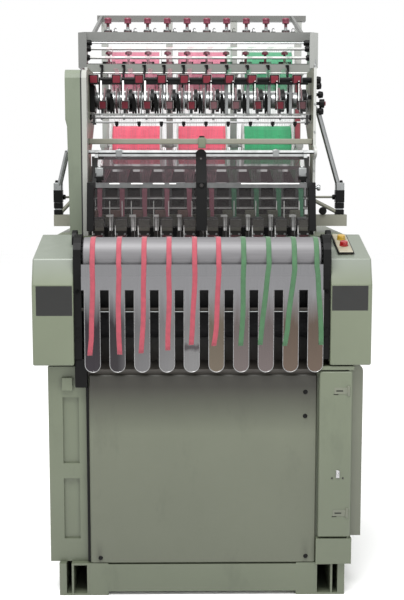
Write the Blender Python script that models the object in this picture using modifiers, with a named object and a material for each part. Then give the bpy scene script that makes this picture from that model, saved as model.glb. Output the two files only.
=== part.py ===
# Ten-head needle loom for narrow ribbons, with its warp creel behind.
# Metres. X to the right, Y to the back, Z up; the origin is on the floor under the middle.
# A depth is measured backwards from the foremost face, the front of the two wings.

import math

import bmesh
import bpy
from mathutils import Matrix, Vector

# Fits
SEAT = 0.0003
RUNNING = 0.006
PIN_PLAY = 0.001

# Whole machine
DEPTH = 1.690
HEADS = 10
PITCH = 0.083

# Widths from the row of heads outwards, each from the one before it
BED_MARGIN = 0.0165
WING_REACH = 0.178
WING_STEP = 0.040
CONTROL_STEP = 0.058
UPRIGHT_STEP = 0.021
INSIDE_GAP = 0.009
COVER_SIDE_STEP = 0.0305
PANE_STEP = 0.0195
BELT_COVER_LIP = 0.006
BELT_COVER_REACH = 0.070
REAR_BEAM_REACH = 0.145
LEFT_COUPLING_STEP = 0.016
RIGHT_COUPLING_STEP = 0.026
LEFT_ROCKER_STEP = 0.016
RIGHT_ROCKER_STEP = 0.025
LEFT_RACK_STEP = 0.064
RIGHT_RACK_STEP = 0.053
CREEL_STEP = 0.036
CREEL_BAYS = 3
BEAM_STEP = 0.085
ROW_HALF = PITCH * (HEADS - 1) / 2
BED_HALF = ROW_HALF + BED_MARGIN
WIDTH = 2 * (BED_HALF + WING_REACH)
WING_INNER = BED_HALF + WING_STEP
CONTROL_X = WING_INNER + CONTROL_STEP
UPRIGHT_INNER = BED_HALF + UPRIGHT_STEP
COVER_HALF = UPRIGHT_INNER - INSIDE_GAP
COVER_SIDE_INNER = COVER_HALF - COVER_SIDE_STEP
UPPER_PANE_HALF = COVER_SIDE_INNER - PANE_STEP
STOP_HALF = UPRIGHT_INNER - INSIDE_GAP
BELT_COVER_INNER = UPRIGHT_INNER - BELT_COVER_LIP
BELT_COVER_OUTER = UPRIGHT_INNER + BELT_COVER_REACH
REAR_BEAM_HALF = UPRIGHT_INNER + REAR_BEAM_REACH
LEFT_COUPLING_X = LEFT_COUPLING_STEP - REAR_BEAM_HALF
RIGHT_COUPLING_X = REAR_BEAM_HALF - RIGHT_COUPLING_STEP
LEFT_ROCKER_X = -BELT_COVER_OUTER - LEFT_ROCKER_STEP
RIGHT_ROCKER_X = UPRIGHT_INNER + RIGHT_ROCKER_STEP
RACK_LEFT = -UPRIGHT_INNER - LEFT_RACK_STEP
RACK_RIGHT = UPRIGHT_INNER + RIGHT_RACK_STEP
CREEL_BAY = (RACK_RIGHT - RACK_LEFT - CREEL_STEP) / CREEL_BAYS
BEAM_YARN = CREEL_BAY - BEAM_STEP

# Base
BASE_HEIGHT = 0.115
FOOT_WIDTH = 0.066
RAIL_CLEARANCE = 0.014
RAIL_DEPTH = 0.060
CHANNEL_WIDTH = 0.060
CHANNEL_WALL = 0.007
SKID_WIDTH = 0.024
SKID_OFFSET = 0.018

# Bed and side castings
BED_FRONT = 0.045
BED_BACK = 0.930
BED_TOP = 0.790
HOUSING_FRONT = 0.215
HOUSING_TOP = 1.200
SIDE_WIDTH = 0.134
SIDE_FRONT_TOP = 0.800
SIDE_TOP = 1.228
SIDE_STEP = 0.300
RECESS_DEPTH = 0.010
RECESS_SIDE = 0.055
PANEL_THICK = 0.024
PANEL_TOP = 0.775

# Electric cabinet on the right
CABINET_WIDTH = 0.122
CABINET_GAP = 0.002
CABINET_BACK = SIDE_STEP - CABINET_GAP
CABINET_FRONT = 0.031
CABINET_TOP = 0.806
CABINET_WALL = 0.008
DOOR_THICK = 0.018
DOOR_FRONT = 0.006
HINGE_INSET = 0.007
HINGE_PIN = 0.0035
DOOR_LOW = 0.211
DOOR_HIGH = 0.788
SIDE_BOX_WIDTH = 0.037
SIDE_BOX_FRONT = 0.050
SIDE_BOX_LOW = 0.202
SIDE_BOX_ROUND = 0.022

# Wings
WING_LOW = 0.811
WING_FACE_TOP = 1.084
WING_BROW = 1.169
WING_BROW_DEPTH = 0.035
WING_BACK_TOP = 1.234
CONTROL_WIDTH = 0.048
CONTROL_LENGTH = 0.200
CONTROL_THICK = 0.012
BUTTON_RADIUS = 0.013
BUTTON_HEIGHT = 0.014

# Take-off
BRACKET_THICK = 0.026
BRACKET_LOW = 0.830
BRACKET_CROWN = 0.072
ROLLER_RADIUS = 0.062
ROLLER_DEPTH = 0.074
ROLLER_Z = 1.176
AXLE_RADIUS = 0.012
DRAW_RADIUS = 0.050
DRAW_DEPTH = 0.145
DRAW_Z = 0.935
CHUTE_THICK = 0.003
CHUTE_TOP = 1.112
CHUTE_SPLIT = 1.066
CHUTE_X = 0.006
TONGUE_FRONT = 0.002
TONGUE_WIDTH = 0.054
TONGUE_LOW = 0.787
CHUTE_BAR_RADIUS = 0.006
CHUTE_BAR_Z = 1.000

# Depths from front to back, each from the one before it
HEAD_SETBACK = 0.080
REED_GAP = 0.056
HEALD_GAP = 0.030
HEALD_PITCH = 0.024
UPRIGHT_SETBACK = 0.040
COVER_REACH = 0.032
COVER_DEPTH = 0.133
CROSS_BAR_INSET = 0.030
CROWN_LENGTH = 0.270
FEED_INSET = 0.080
GUIDE_ROD_STEP = 0.005
LOWER_FEED_STEP = 0.040
SHAFT_STEP = 0.130
REAR_BEAM_THICK = 0.050
REAR_BEAM_GAP = 0.005
STOP_RAIL_STEP = 0.110
HEAD_DEPTH = SIDE_STEP + HEAD_SETBACK
REED_DEPTH = HEAD_DEPTH + REED_GAP
FRONT_HEALD_DEPTH = REED_DEPTH + HEALD_GAP
BACK_HEALD_DEPTH = FRONT_HEALD_DEPTH + HEALD_PITCH
UPRIGHT_FRONT = HEAD_DEPTH + UPRIGHT_SETBACK
UPRIGHT_BACK = BACK_HEALD_DEPTH + UPRIGHT_SETBACK
COVER_AXIS_DEPTH = UPRIGHT_FRONT - COVER_REACH
LOWER_PANE_DEPTH = COVER_AXIS_DEPTH - COVER_DEPTH
CROSS_BAR_DEPTH = UPRIGHT_FRONT + CROSS_BAR_INSET
CROWN_BACK = UPRIGHT_FRONT + CROWN_LENGTH
UPPER_FEED_DEPTH = UPRIGHT_FRONT + FEED_INSET
GUIDE_ROD_DEPTH = UPPER_FEED_DEPTH + GUIDE_ROD_STEP
LOWER_FEED_DEPTH = UPPER_FEED_DEPTH + LOWER_FEED_STEP
SHAFT_DEPTH = UPPER_FEED_DEPTH + SHAFT_STEP
REAR_BEAM_DEPTH = UPRIGHT_BACK + REAR_BEAM_GAP + REAR_BEAM_THICK / 2
STOP_RAIL_DEPTH = CROWN_BACK + STOP_RAIL_STEP
RACK_STEP = 0.050
SECOND_BAR_STEP = 0.012
LOWER_ROD_STEP = 0.090
UPPER_ROD_STEP = 0.050
TOP_BAR_STEP = 0.090
TENSION_BAR_STEP = 0.040
RACK_TAIL = 0.080
RACK_FRONT = STOP_RAIL_DEPTH + RACK_STEP
SECOND_BAR_DEPTH = RACK_FRONT + SECOND_BAR_STEP
LOWER_ROD_DEPTH = RACK_FRONT + LOWER_ROD_STEP
UPPER_ROD_DEPTH = LOWER_ROD_DEPTH + UPPER_ROD_STEP
TOP_BAR_DEPTH = UPPER_ROD_DEPTH + TOP_BAR_STEP
TENSION_BAR_DEPTH = TOP_BAR_DEPTH + TENSION_BAR_STEP
RACK_BACK = TOP_BAR_DEPTH + RACK_TAIL

# Needle heads and heald frames
HEAD_X = -0.036
HEAD_THICK = 0.046
HEAD_BEAM_TOP = 1.238
HEAD_TOP = 1.286
HEAD_WIDTH = 0.046
TIP_TOP = 1.298
TIP_WIDTH = 0.011
HEALD_THICK = 0.008
HEALD_RAIL = 0.012
HEALD_HEIGHT = 0.160
FRONT_HEALD_Z = 1.316
SHED = 0.036
LIFTER_X = 0.300
LIFTER_WIDTH = 0.008
LIFTER_GRIP = 0.050
LIFTER_PLAY = 0.0008
REED_BAR_TOP = 1.237
REED_TOP = 1.290

# Smoked cover
COVER_AXIS_Z = 1.527
COVER_ROD_RADIUS = 0.007
COVER_ROD_DROP = 0.016
PANE_THICK = 0.005
LOWER_PANE_TOP = 1.412
JOINT_LOW = 1.400
JOINT_HIGH = 1.418
JOINT_DEPTH = 0.018
LOWER_PANE_LOW = 1.262
LOWER_PANE_LEAN = 0.030
COVER_CHEEK = 0.024
COVER_STRIP_WIDTH = 0.038
COVER_STRIP_THICK = 0.010
COVER_SIDE_WIDTH = 0.016
COVER_SIDE_THICK = 0.012
CROSS_ROD = 0.010

# Uprights and cross members
UPRIGHT_THICK = 0.010
UPRIGHT_TOP = 1.832
CROWN_LOW = 1.620
CROSS_BAR_LOW = 1.556
CROSS_BAR_HIGH = 1.576
REAR_BEAM_LOW = 1.250
REAR_BEAM_HIGH = 1.293
BELT_COVER_TOP = 1.815
BELT_COVER_WAIST = 1.640
BELT_COVER_NOSE = 0.054

# Warp stop rail behind the healds
STOP_APRON_GAP = 0.015
STOP_APRON_TOP = 1.405
STOP_PLATE = 0.008
STOP_ARM_LOW = 1.375
STOP_RAIL_LOW = 1.411
STOP_RAIL_HIGH = 1.455
STOP_RAIL_THICK = 0.020
STOP_BOX = 0.040
STOP_BOX_X = 0.002
STOP_BOX_THICK = 0.056
STOP_BOX_LOW = 1.405
STOP_BOX_HIGH = 1.477

# Weft feeder
FEED_X = -0.019
UPPER_FEED_Z = 1.792
UPPER_FEED_RADIUS = 0.0105
KNOB_SIZE = 0.033
SHAFT_Z = 1.725
SHAFT_RADIUS = 0.023
WHEEL_X = -0.003
WHEEL_RADIUS = 0.047
WHEEL_THICK = 0.005
DRUM_RADIUS = 0.042
DRUM_THICK = 0.012
FEED_WHEELS = (
    (-0.025, WHEEL_THICK, WHEEL_RADIUS),
    (0.013, WHEEL_THICK, WHEEL_RADIUS),
    (0.027, DRUM_THICK, DRUM_RADIUS),
)
LOWER_FEED_X = 0.006
LOWER_FEED_Z = 1.698
LOWER_FEED_BAR = (1.664, 1.672)
ARM_WIDTH = 0.010
GUIDE_ROD_Z = (1.638, 1.656)
GUIDE_ROD_RADIUS = 0.005
COLLAR_RADIUS = 0.010
COLLAR_WIDTH = 0.008

# Rocker rods outside the uprights
LEFT_ROCKER_TOP = (LEFT_ROCKER_X, UPPER_FEED_DEPTH, 1.530)
RIGHT_ROCKER_TOP = (RIGHT_ROCKER_X, UPPER_FEED_DEPTH + 0.020, 1.690)
ROCKER_RADIUS = 0.010
PIVOT_RADIUS = 0.008
COUPLING_TOP = 1.414
COUPLING_WIDTH = 0.032
COUPLING_DEPTH = 0.036
COUPLING_LOW = 1.338

# Warp guide rack
RACK_PLATE = 0.011
RACK_FLANGE = 0.022
RACK_FLANGE_THICK = 0.012
RACK_LOW = 1.868
RACK_SHOULDER = 2.006
SECOND_BAR_LOW = 1.846
SECOND_BAR_HIGH = 1.882
TOP_BAR_LOW = 1.996
TOP_BAR_HIGH = 2.034
TENSION_BAR_LOW = 1.892
TENSION_BAR_HIGH = 1.908
RACK_BAR_THICK = 0.030
TENSIONER_X = -0.009
TENSIONER_HEIGHT = 0.052
TENSIONER_DISC = 0.017
TENSIONER_STEM = 0.005
TENSIONER_CAP = 0.014
RACK_ROD_RADIUS = 0.006
RACK_RODS = ((UPPER_ROD_DEPTH, 1.957), (LOWER_ROD_DEPTH, 1.916))
RACK_ARM = 0.022
RACK_ARM_INSET = 0.022
RACK_ARM_THICK = 0.011

# Creel
CREEL_X = 0.0165
POST_WIDTH = 0.030
POST_DEPTH = 1.600
POST_THICK = 0.040
CREEL_TOP = 2.170
CREEL_BAR = 0.024
CREEL_BAR_DEPTH = 0.052
CREEL_OVERHANG = 0.018
CREEL_FOOT = 0.050
BEAM_DEPTH = 1.500
BEAM_ROWS = (1.573, 1.908)
BEAM_RADIUS = 0.088
FLANGE_RADIUS = 0.100
FLANGE_THICK = 0.008
BEAM_AXLE = 0.009
LUG_RADIUS = 0.022

PLANES = {
    "XZ": Matrix(((1, 0, 0, 0), (0, 0, -1, 0), (0, 1, 0, 0), (0, 0, 0, 1))),
    "YZ": Matrix(((0, 0, 1, 0), (1, 0, 0, 0), (0, 1, 0, 0), (0, 0, 0, 1))),
    "XY": Matrix.Identity(4),
}
OUTWARD = {"XZ": Vector((0, -1, 0)), "YZ": Vector((1, 0, 0)), "XY": Vector((0, 0, 1))}


def clear_scene():
    for obj in list(bpy.data.objects):
        bpy.data.objects.remove(obj, do_unlink=True)


def new_collection(name):
    collection = bpy.data.collections.new(name)
    bpy.context.scene.collection.children.link(collection)
    return collection


clear_scene()
PARTS = new_collection("ribbon_needle_loom")
CUTTERS = new_collection("cutters")


def paint(name, colour, roughness=0.5, metallic=0.0, alpha=1.0):
    material = bpy.data.materials.new(name)
    material.use_nodes = True
    shader = material.node_tree.nodes["Principled BSDF"]
    shader.inputs["Base Color"].default_value = (*colour, 1)
    shader.inputs["Roughness"].default_value = roughness
    shader.inputs["Metallic"].default_value = metallic
    shader.inputs["Alpha"].default_value = alpha
    return material


GREEN = paint("green_enamel", (0.31, 0.35, 0.24), 0.42)
PALE_GREEN = paint("pale_green_enamel", (0.45, 0.50, 0.40), 0.42)
GREY_METAL = paint("grey_machined_metal", (0.46, 0.47, 0.46), 0.36, 0.8)
BLACK = paint("black_enamel", (0.015, 0.016, 0.015), 0.38)
STEEL = paint("polished_steel", (0.72, 0.72, 0.71), 0.18, 1.0)
RUBBER = paint("black_rubber", (0.02, 0.02, 0.02), 0.8)
SMOKED = paint("smoked_acrylic", (0.10, 0.12, 0.12), 0.12, 0.0, 0.35)
PINK = paint("pink_warp_yarn", (0.72, 0.10, 0.17), 0.85)
EMERALD = paint("green_warp_yarn", (0.02, 0.36, 0.15), 0.85)
CREAM = paint("cream_panel", (0.68, 0.64, 0.50), 0.45)


def back(depth):
    """The world Y of a depth behind the front of the wings."""
    return depth - DEPTH / 2


def span(centre, size):
    return centre - size / 2, centre + size / 2


def backs(low, high):
    return back(low), back(high)


def row(centre):
    """The ten places of a row across the machine."""
    first = centre - PITCH * (HEADS - 1) / 2
    return [first + PITCH * place for place in range(HEADS)]


def keep(obj, material):
    for collection in obj.users_collection:
        collection.objects.unlink(obj)
    PARTS.objects.link(obj)
    if material:
        obj.data.materials.clear()
        obj.data.materials.append(material)
    return obj


def new_object(name, mesh, material):
    obj = bpy.data.objects.new(name, mesh)
    bpy.context.scene.collection.objects.link(obj)
    return keep(obj, material)


def box(name, x, y, z, material=None, bevel=0.0, segments=1):
    """A block between two corners, given as one (low, high) pair for each axis."""
    size = [high - low for low, high in (x, y, z)]
    mesh = bpy.data.meshes.new(name)
    form = bmesh.new()
    bmesh.ops.create_cube(form, size=1.0, matrix=Matrix.Diagonal((*size, 1)))
    form.to_mesh(mesh)
    form.free()
    obj = new_object(name, mesh, material)
    obj.location = [(low + high) / 2 for low, high in (x, y, z)]
    if bevel:
        round_edges(obj, bevel, segments)
    return obj


def round_edges(obj, width, segments=1):
    bevel = obj.modifiers.new("rounded_edges", "BEVEL")
    bevel.width = width
    bevel.segments = segments
    bevel.limit_method = "ANGLE"
    bevel.angle_limit = math.radians(50)


def arc(centre, radius, start, end, steps):
    """Points of an arc, from one angle to another in degrees."""
    turns = [math.radians(start + (end - start) * step / steps) for step in range(steps + 1)]
    return [(centre[0] + radius * math.cos(t), centre[1] + radius * math.sin(t)) for t in turns]


def circle(centre, radius, steps=14):
    return arc(centre, radius, 0, 360 * (steps - 1) / steps, steps - 1)


def mesh_from(source, name, material):
    """Turns a curve into a welded mesh object in the same place."""
    bpy.context.view_layer.update()
    graph = bpy.context.evaluated_depsgraph_get()
    mesh = bpy.data.meshes.new_from_object(source.evaluated_get(graph))
    form = bmesh.new()
    form.from_mesh(mesh)
    bmesh.ops.remove_doubles(form, verts=form.verts, dist=0.00001)
    bmesh.ops.recalc_face_normals(form, faces=form.faces)
    form.to_mesh(mesh)
    form.free()
    place = source.matrix_world.copy()
    bpy.data.objects.remove(source, do_unlink=True)
    obj = new_object(name, mesh, material)
    obj.matrix_world = place
    return obj


def outline(name, loops, plane, low, high, material=None):
    """A flat outline, the first loop outside and any others as holes, made thick across its plane."""
    curve = bpy.data.curves.new(name, "CURVE")
    curve.dimensions = "2D"
    curve.fill_mode = "BOTH"
    curve.extrude = (high - low) / 2
    for loop in loops:
        spline = curve.splines.new("POLY")
        spline.points.add(len(loop) - 1)
        for point, (u, v) in zip(spline.points, loop):
            point.co = (u, v, 0, 1)
        spline.use_cyclic_u = True
    source = bpy.data.objects.new(name + "_outline", curve)
    bpy.context.scene.collection.objects.link(source)
    middle = (low + high) / 2 * (-1 if plane == "XZ" else 1)
    source.matrix_world = Matrix.Translation(OUTWARD[plane] * middle) @ PLANES[plane]
    return mesh_from(source, name, material)


def turned(name, profile, centre, along="X", material=None, steps=16):
    """A turned shape: (radius, place along the axis) pairs, in rising order along X, Y or Z."""
    mesh = bpy.data.meshes.new(name)
    points = [(radius, 0, place) for radius, place in reversed(profile)]
    mesh.from_pydata(points, [(i, i + 1) for i in range(len(points) - 1)], [])
    obj = new_object(name, mesh, material)
    obj.location = centre
    turn = {"X": (0, math.pi / 2, 0), "Y": (-math.pi / 2, 0, 0), "Z": (0, 0, 0)}
    obj.rotation_euler = turn[along]
    screw = obj.modifiers.new("turning", "SCREW")
    screw.steps = steps
    screw.render_steps = steps
    screw.use_merge_vertices = True
    screw.merge_threshold = 0.00005
    screw.use_normal_calculate = False
    return obj


def bar(radius, low, high):
    """The profile of a plain round bar."""
    return [(0, low), (radius, low), (radius, high), (0, high)]


def tube(name, points, radius, material=None):
    """A round rod along straight runs."""
    curve = bpy.data.curves.new(name, "CURVE")
    curve.dimensions = "3D"
    curve.bevel_depth = radius
    curve.bevel_resolution = 2
    curve.use_fill_caps = True
    spline = curve.splines.new("POLY")
    spline.points.add(len(points) - 1)
    for point, place in zip(spline.points, points):
        point.co = (*place, 1)
    source = bpy.data.objects.new(name + "_path", curve)
    bpy.context.scene.collection.objects.link(source)
    return mesh_from(source, name, material)


def helper(obj, target, operation):
    PARTS.objects.unlink(obj)
    CUTTERS.objects.link(obj)
    obj.hide_render = True
    obj.display_type = "WIRE"
    modifier = target.modifiers.new(obj.name, "BOOLEAN")
    modifier.operation = operation
    modifier.solver = "EXACT"
    modifier.object = obj
    return target


def cut(target, *tools):
    for tool in tools:
        helper(tool, target, "DIFFERENCE")
    return target


def join(target, *pieces):
    for piece in pieces:
        helper(piece, target, "UNION")
    return target


def common(target, tool):
    return helper(tool, target, "INTERSECT")


def repeat(obj, count, step):
    array = obj.modifiers.new("row", "ARRAY")
    array.count = count
    array.use_relative_offset = False
    array.use_constant_offset = True
    array.constant_offset_displace = step
    return obj


def hang(name, place, *pieces):
    """Parents moving pieces to an empty that stands on their joint's axis."""
    pivot = bpy.data.objects.new(name, None)
    PARTS.objects.link(pivot)
    pivot.location = place
    bpy.context.view_layer.update()
    for piece in pieces:
        piece.parent = pivot
        piece.matrix_parent_inverse = pivot.matrix_world.inverted()


def mirrored(pair, side):
    """An X range on the right, or its mirror image on the left."""
    low, high = pair
    return (low, high) if side > 0 else (-high, -low)


SIDES = (("left", -1), ("right", 1))


def make_base():
    foot_outer = BED_HALF + SEAT
    foot_inner = foot_outer - FOOT_WIDTH
    rail_top = BASE_HEIGHT - 0.004
    profile = [
        (-foot_outer, 0),
        (-foot_inner, 0),
        (-foot_inner, RAIL_CLEARANCE),
        (foot_inner, RAIL_CLEARANCE),
        (foot_inner, 0),
        (foot_outer, 0),
        (foot_outer, BASE_HEIGHT),
        (foot_inner, BASE_HEIGHT),
        (foot_inner, rail_top),
        (-foot_inner, rail_top),
        (-foot_inner, BASE_HEIGHT),
        (-foot_outer, BASE_HEIGHT),
    ]
    front = BED_FRONT - PANEL_THICK
    for name, low in (("front_base_rail", front), ("rear_base_rail", BED_BACK - RAIL_DEPTH)):
        outline(name, [profile], "XZ", *backs(low, low + RAIL_DEPTH), GREEN)
    inner = BED_HALF + 2 * SEAT
    outer = inner + CHANNEL_WIDTH
    wall = CHANNEL_WALL
    for label, side in SIDES:
        skid = outer + SKID_OFFSET
        section = [
            (inner, 0),
            (skid + SKID_WIDTH, 0),
            (skid + SKID_WIDTH, BASE_HEIGHT),
            (skid, BASE_HEIGHT),
            (skid, wall),
            (outer, wall),
            (outer, BASE_HEIGHT),
            (inner, BASE_HEIGHT),
        ]
        hollow = [
            (inner + wall, wall),
            (outer - wall, wall),
            (outer - wall, BASE_HEIGHT - wall),
            (inner + wall, BASE_HEIGHT - wall),
        ]
        loops = [[(x * side, z) for x, z in loop] for loop in (section, hollow)]
        outline(label + "_base_channel", loops, "XZ", *backs(front, BED_BACK), GREEN)


def make_bed():
    bed_low = BASE_HEIGHT + SEAT
    across = (-BED_HALF, BED_HALF)
    box("machine_bed", across, backs(BED_FRONT, BED_BACK), (bed_low, BED_TOP), GREEN)
    housing = (BED_TOP + SEAT, HOUSING_TOP)
    box("upper_housing", across, backs(HOUSING_FRONT, BED_BACK), housing, GREEN)
    front = BED_FRONT - SEAT
    panel = (-BED_HALF + 0.006, BED_HALF)
    box(
        "front_panel",
        panel,
        backs(front - PANEL_THICK, front),
        (bed_low, PANEL_TOP),
        GREEN,
        bevel=0.004,
    )
    make_side_casting("left_side_casting", -1, BED_FRONT)
    make_side_casting("right_side_casting", 1, SIDE_STEP)


def make_side_casting(name, side, front):
    inner = BED_HALF + SEAT
    low = BASE_HEIGHT + SEAT
    across = mirrored((inner, inner + SIDE_WIDTH), side)
    step = [(back(front), SIDE_FRONT_TOP), (back(SIDE_STEP), SIDE_FRONT_TOP)]
    profile = [
        (back(front), low),
        *(step if front < SIDE_STEP else []),
        (back(SIDE_STEP), SIDE_TOP),
        (back(BED_BACK), SIDE_TOP),
        (back(BED_BACK), low),
    ]
    casting = outline(name, [profile], "YZ", *across, GREEN)
    if front < SIDE_STEP:
        middle = (across[0] + across[1]) / 2 + 0.009
        for number, heights in enumerate(((0.463, 0.694), (0.196, 0.410))):
            pocket = (back(front) - 0.01, back(front) + RECESS_DEPTH)
            tool = box(
                f"{name}_front_recess_{number}", span(middle, RECESS_SIDE), pocket, heights
            )
            cut(casting, tool)
    outer = (inner + SIDE_WIDTH) * side
    bays = 3
    edge = 0.05
    width = (BED_BACK - front - edge * (bays + 1)) / bays
    for bay in range(bays):
        first = front + edge + bay * (width + edge)
        top = SIDE_TOP - edge if first > SIDE_STEP else SIDE_FRONT_TOP - edge
        tool = box(
            f"{name}_side_recess_{bay}",
            span(outer, 2 * RECESS_DEPTH),
            backs(first, first + width),
            (low + edge, top),
        )
        cut(casting, tool)


def make_cabinet():
    left = BED_HALF + SEAT + SEAT
    right = left + CABINET_WIDTH
    low = BASE_HEIGHT + SEAT
    sill = DOOR_LOW - RUNNING
    head = DOOR_HIGH + RUNNING
    profile = [
        (back(DOOR_FRONT), low),
        (back(DOOR_FRONT), sill),
        (back(CABINET_FRONT), sill),
        (back(CABINET_FRONT), head),
        (back(DOOR_FRONT), head),
        (back(DOOR_FRONT), CABINET_TOP),
        (back(CABINET_BACK), CABINET_TOP),
        (back(CABINET_BACK), low),
    ]
    cabinet = outline("electric_cabinet", [profile], "YZ", left, right, GREEN)
    wall = CABINET_WALL
    hollow = box(
        "cabinet_hollow",
        (left + 2 * wall, right - 2 * wall),
        (back(CABINET_FRONT) - 0.01, back(CABINET_BACK - wall)),
        (sill + 3 * wall, head - 3 * wall),
    )
    cut(cabinet, hollow)
    door = box(
        "cabinet_door",
        (left + RUNNING, right - RUNNING),
        backs(DOOR_FRONT, DOOR_FRONT + DOOR_THICK),
        (DOOR_LOW, DOOR_HIGH),
        GREEN,
        bevel=0.003,
    )
    hinge = (right - RUNNING - HINGE_INSET, back(DOOR_FRONT + HINGE_INSET))
    for label, height in (("low", sill), ("high", head)):
        pin = bar(HINGE_PIN, -RUNNING - 0.002, RUNNING + 0.002)
        bore = bar(HINGE_PIN + PIN_PLAY * 0.8, -2 * RUNNING, 2 * RUNNING)
        join(door, turned(label + "_door_pin", pin, (*hinge, height), "Z", None, 10))
        cut(cabinet, turned(label + "_door_bore", bore, (*hinge, height), "Z", None, 10))
    hang("door_hinge_axis", (*hinge, DOOR_LOW), door)
    side = right + SEAT
    high = CABINET_TOP - 0.002
    centre = (side + SIDE_BOX_WIDTH - SIDE_BOX_ROUND, high - SIDE_BOX_ROUND)
    profile = [
        (side, SIDE_BOX_LOW),
        (side + SIDE_BOX_WIDTH, SIDE_BOX_LOW),
        *arc(centre, SIDE_BOX_ROUND, 0, 90, 5),
        (side, high),
    ]
    depths = backs(SIDE_BOX_FRONT, CABINET_BACK)
    outline("cabinet_side_box", [profile], "XZ", *depths, PALE_GREEN)


def make_wings():
    profile = [
        (back(0), WING_LOW),
        (back(0), WING_FACE_TOP),
        (back(WING_BROW_DEPTH), WING_BROW),
        (back(SIDE_STEP - SEAT), WING_BACK_TOP),
        (back(SIDE_STEP - SEAT), WING_LOW),
    ]
    for label, side in SIDES:
        across = mirrored((WING_INNER, WIDTH / 2), side)
        wing = outline(label + "_wing_cover", [profile], "YZ", *across, GREEN)
        round_edges(wing, 0.005, 2)
    make_control_panel()


def make_control_panel():
    """A shallow panel lying on the slope of the right wing, with two round buttons."""
    run = SIDE_STEP - WING_BROW_DEPTH
    rise = WING_BACK_TOP - WING_BROW
    slope = math.atan2(rise, run)
    middle = (SIDE_STEP + WING_BROW_DEPTH) / 2
    lift = CONTROL_THICK / 2 + SEAT
    place = Vector((CONTROL_X, back(middle), (WING_BROW + WING_BACK_TOP) / 2))
    normal = Vector((0, -math.sin(slope), math.cos(slope)))
    half = CONTROL_WIDTH / 2, CONTROL_LENGTH / 2, CONTROL_THICK / 2
    size = [(-value, value) for value in half]
    panel = box("control_panel", *size, CREAM, bevel=0.002)
    panel.location = place + normal * lift
    panel.rotation_euler = (slope, 0, 0)
    for name, along in (("start_button", 0.035), ("stop_button", -0.035)):
        profile = [
            (0, 0),
            (BUTTON_RADIUS, 0),
            (BUTTON_RADIUS, BUTTON_HEIGHT * 0.7),
            (BUTTON_RADIUS * 0.7, BUTTON_HEIGHT),
            (0, BUTTON_HEIGHT),
        ]
        up = lift + CONTROL_THICK / 2 - 0.001
        offset = Vector((0, math.cos(slope), math.sin(slope))) * along
        button = turned(name, profile, place + normal * up + offset, "Z", None, 14)
        button.rotation_euler = (slope, 0, 0)
        join(panel, button)


def make_take_off():
    outer = WING_INNER - SEAT
    inner = outer - BRACKET_THICK
    centre = (back(ROLLER_DEPTH), ROLLER_Z)
    rear = back(SIDE_STEP - SEAT)
    low_front = back(0.012)
    profile = [
        (low_front, BRACKET_LOW),
        (low_front, ROLLER_Z - 0.06),
        *arc(centre, BRACKET_CROWN, 200, 0, 10),
        (rear, ROLLER_Z - 0.04),
        (rear, BRACKET_LOW),
    ]
    draw = (back(DRAW_DEPTH), DRAW_Z)
    bore = AXLE_RADIUS + PIN_PLAY
    loops = [profile, circle(centre, bore), circle(draw, bore)]
    for label, side in SIDES:
        across = mirrored((inner, outer), side)
        outline(label + "_take_off_bracket", loops, "YZ", *across, BLACK)
    face = inner - RUNNING
    pin = inner + BRACKET_THICK * 0.8
    make_roller("take_off_roller", ROLLER_RADIUS, face, pin, centre, STEEL)
    make_roller("draw_roller", DRAW_RADIUS, face, pin, draw, RUBBER)
    bar_depth = back(CHUTE_THICK + CHUTE_BAR_RADIUS + SEAT + TONGUE_FRONT)
    reach = inner - SEAT
    place = (0, bar_depth, CHUTE_BAR_Z)
    turned("chute_bar", bar(CHUTE_BAR_RADIUS, -reach, reach), place, "X", STEEL, 10)
    make_chute(reach)


def make_roller(name, radius, face, pin, centre, material):
    chamfer = 0.002
    profile = [
        (0, -pin),
        (AXLE_RADIUS, -pin),
        (AXLE_RADIUS, -face),
        (radius - chamfer, -face),
        (radius, -face + chamfer),
        (radius, face - chamfer),
        (radius - chamfer, face),
        (AXLE_RADIUS, face),
        (AXLE_RADIUS, pin),
        (0, pin),
    ]
    turned(name, profile, (0, *centre), "X", material, 28)


def make_chute(reach):
    """One bright sheet below the roller, divided into ten round-ended tongues."""
    half = TONGUE_WIDTH / 2
    points = [(reach, CHUTE_TOP), (-reach, CHUTE_TOP), (-reach, CHUTE_SPLIT)]
    for x in row(CHUTE_X):
        points.append((x - half, CHUTE_SPLIT))
        points += arc((x, TONGUE_LOW + half), half, 180, 360, 8)
        points.append((x + half, CHUTE_SPLIT))
    points.append((reach, CHUTE_SPLIT))
    depths = backs(TONGUE_FRONT, TONGUE_FRONT + CHUTE_THICK)
    outline("ribbon_chute", [points], "XZ", *depths, STEEL)


def make_heads():
    """The needle heads and their white weft guides, as one comb on a beam."""
    low = HOUSING_TOP + SEAT
    left = row(HEAD_X)[0] - TIP_WIDTH / 2
    right = row(HEAD_X)[-1] + TIP_WIDTH + HEAD_WIDTH + 0.01
    over = SIDE_TOP + SEAT
    foot = BED_HALF - SEAT
    points = [(left, over), (-foot, over), (-foot, low), (foot, low), (foot, over)]
    points += [(right, over), (right, HEAD_BEAM_TOP)]
    for x in reversed(row(HEAD_X)):
        tip = x + TIP_WIDTH / 2
        block = tip + 0.006
        points += [
            (block + HEAD_WIDTH, HEAD_BEAM_TOP),
            (block + HEAD_WIDTH, HEAD_TOP),
            (block, HEAD_TOP),
            (block, HEAD_BEAM_TOP),
            (tip, HEAD_BEAM_TOP),
            (tip, TIP_TOP),
            (tip - TIP_WIDTH, TIP_TOP),
        ]
        if x > row(HEAD_X)[0] + PITCH / 2:
            points.append((tip - TIP_WIDTH, HEAD_BEAM_TOP))
    depths = backs(*span(HEAD_DEPTH, HEAD_THICK))
    outline("needle_heads", [points], "XZ", *depths, GREY_METAL)


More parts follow.
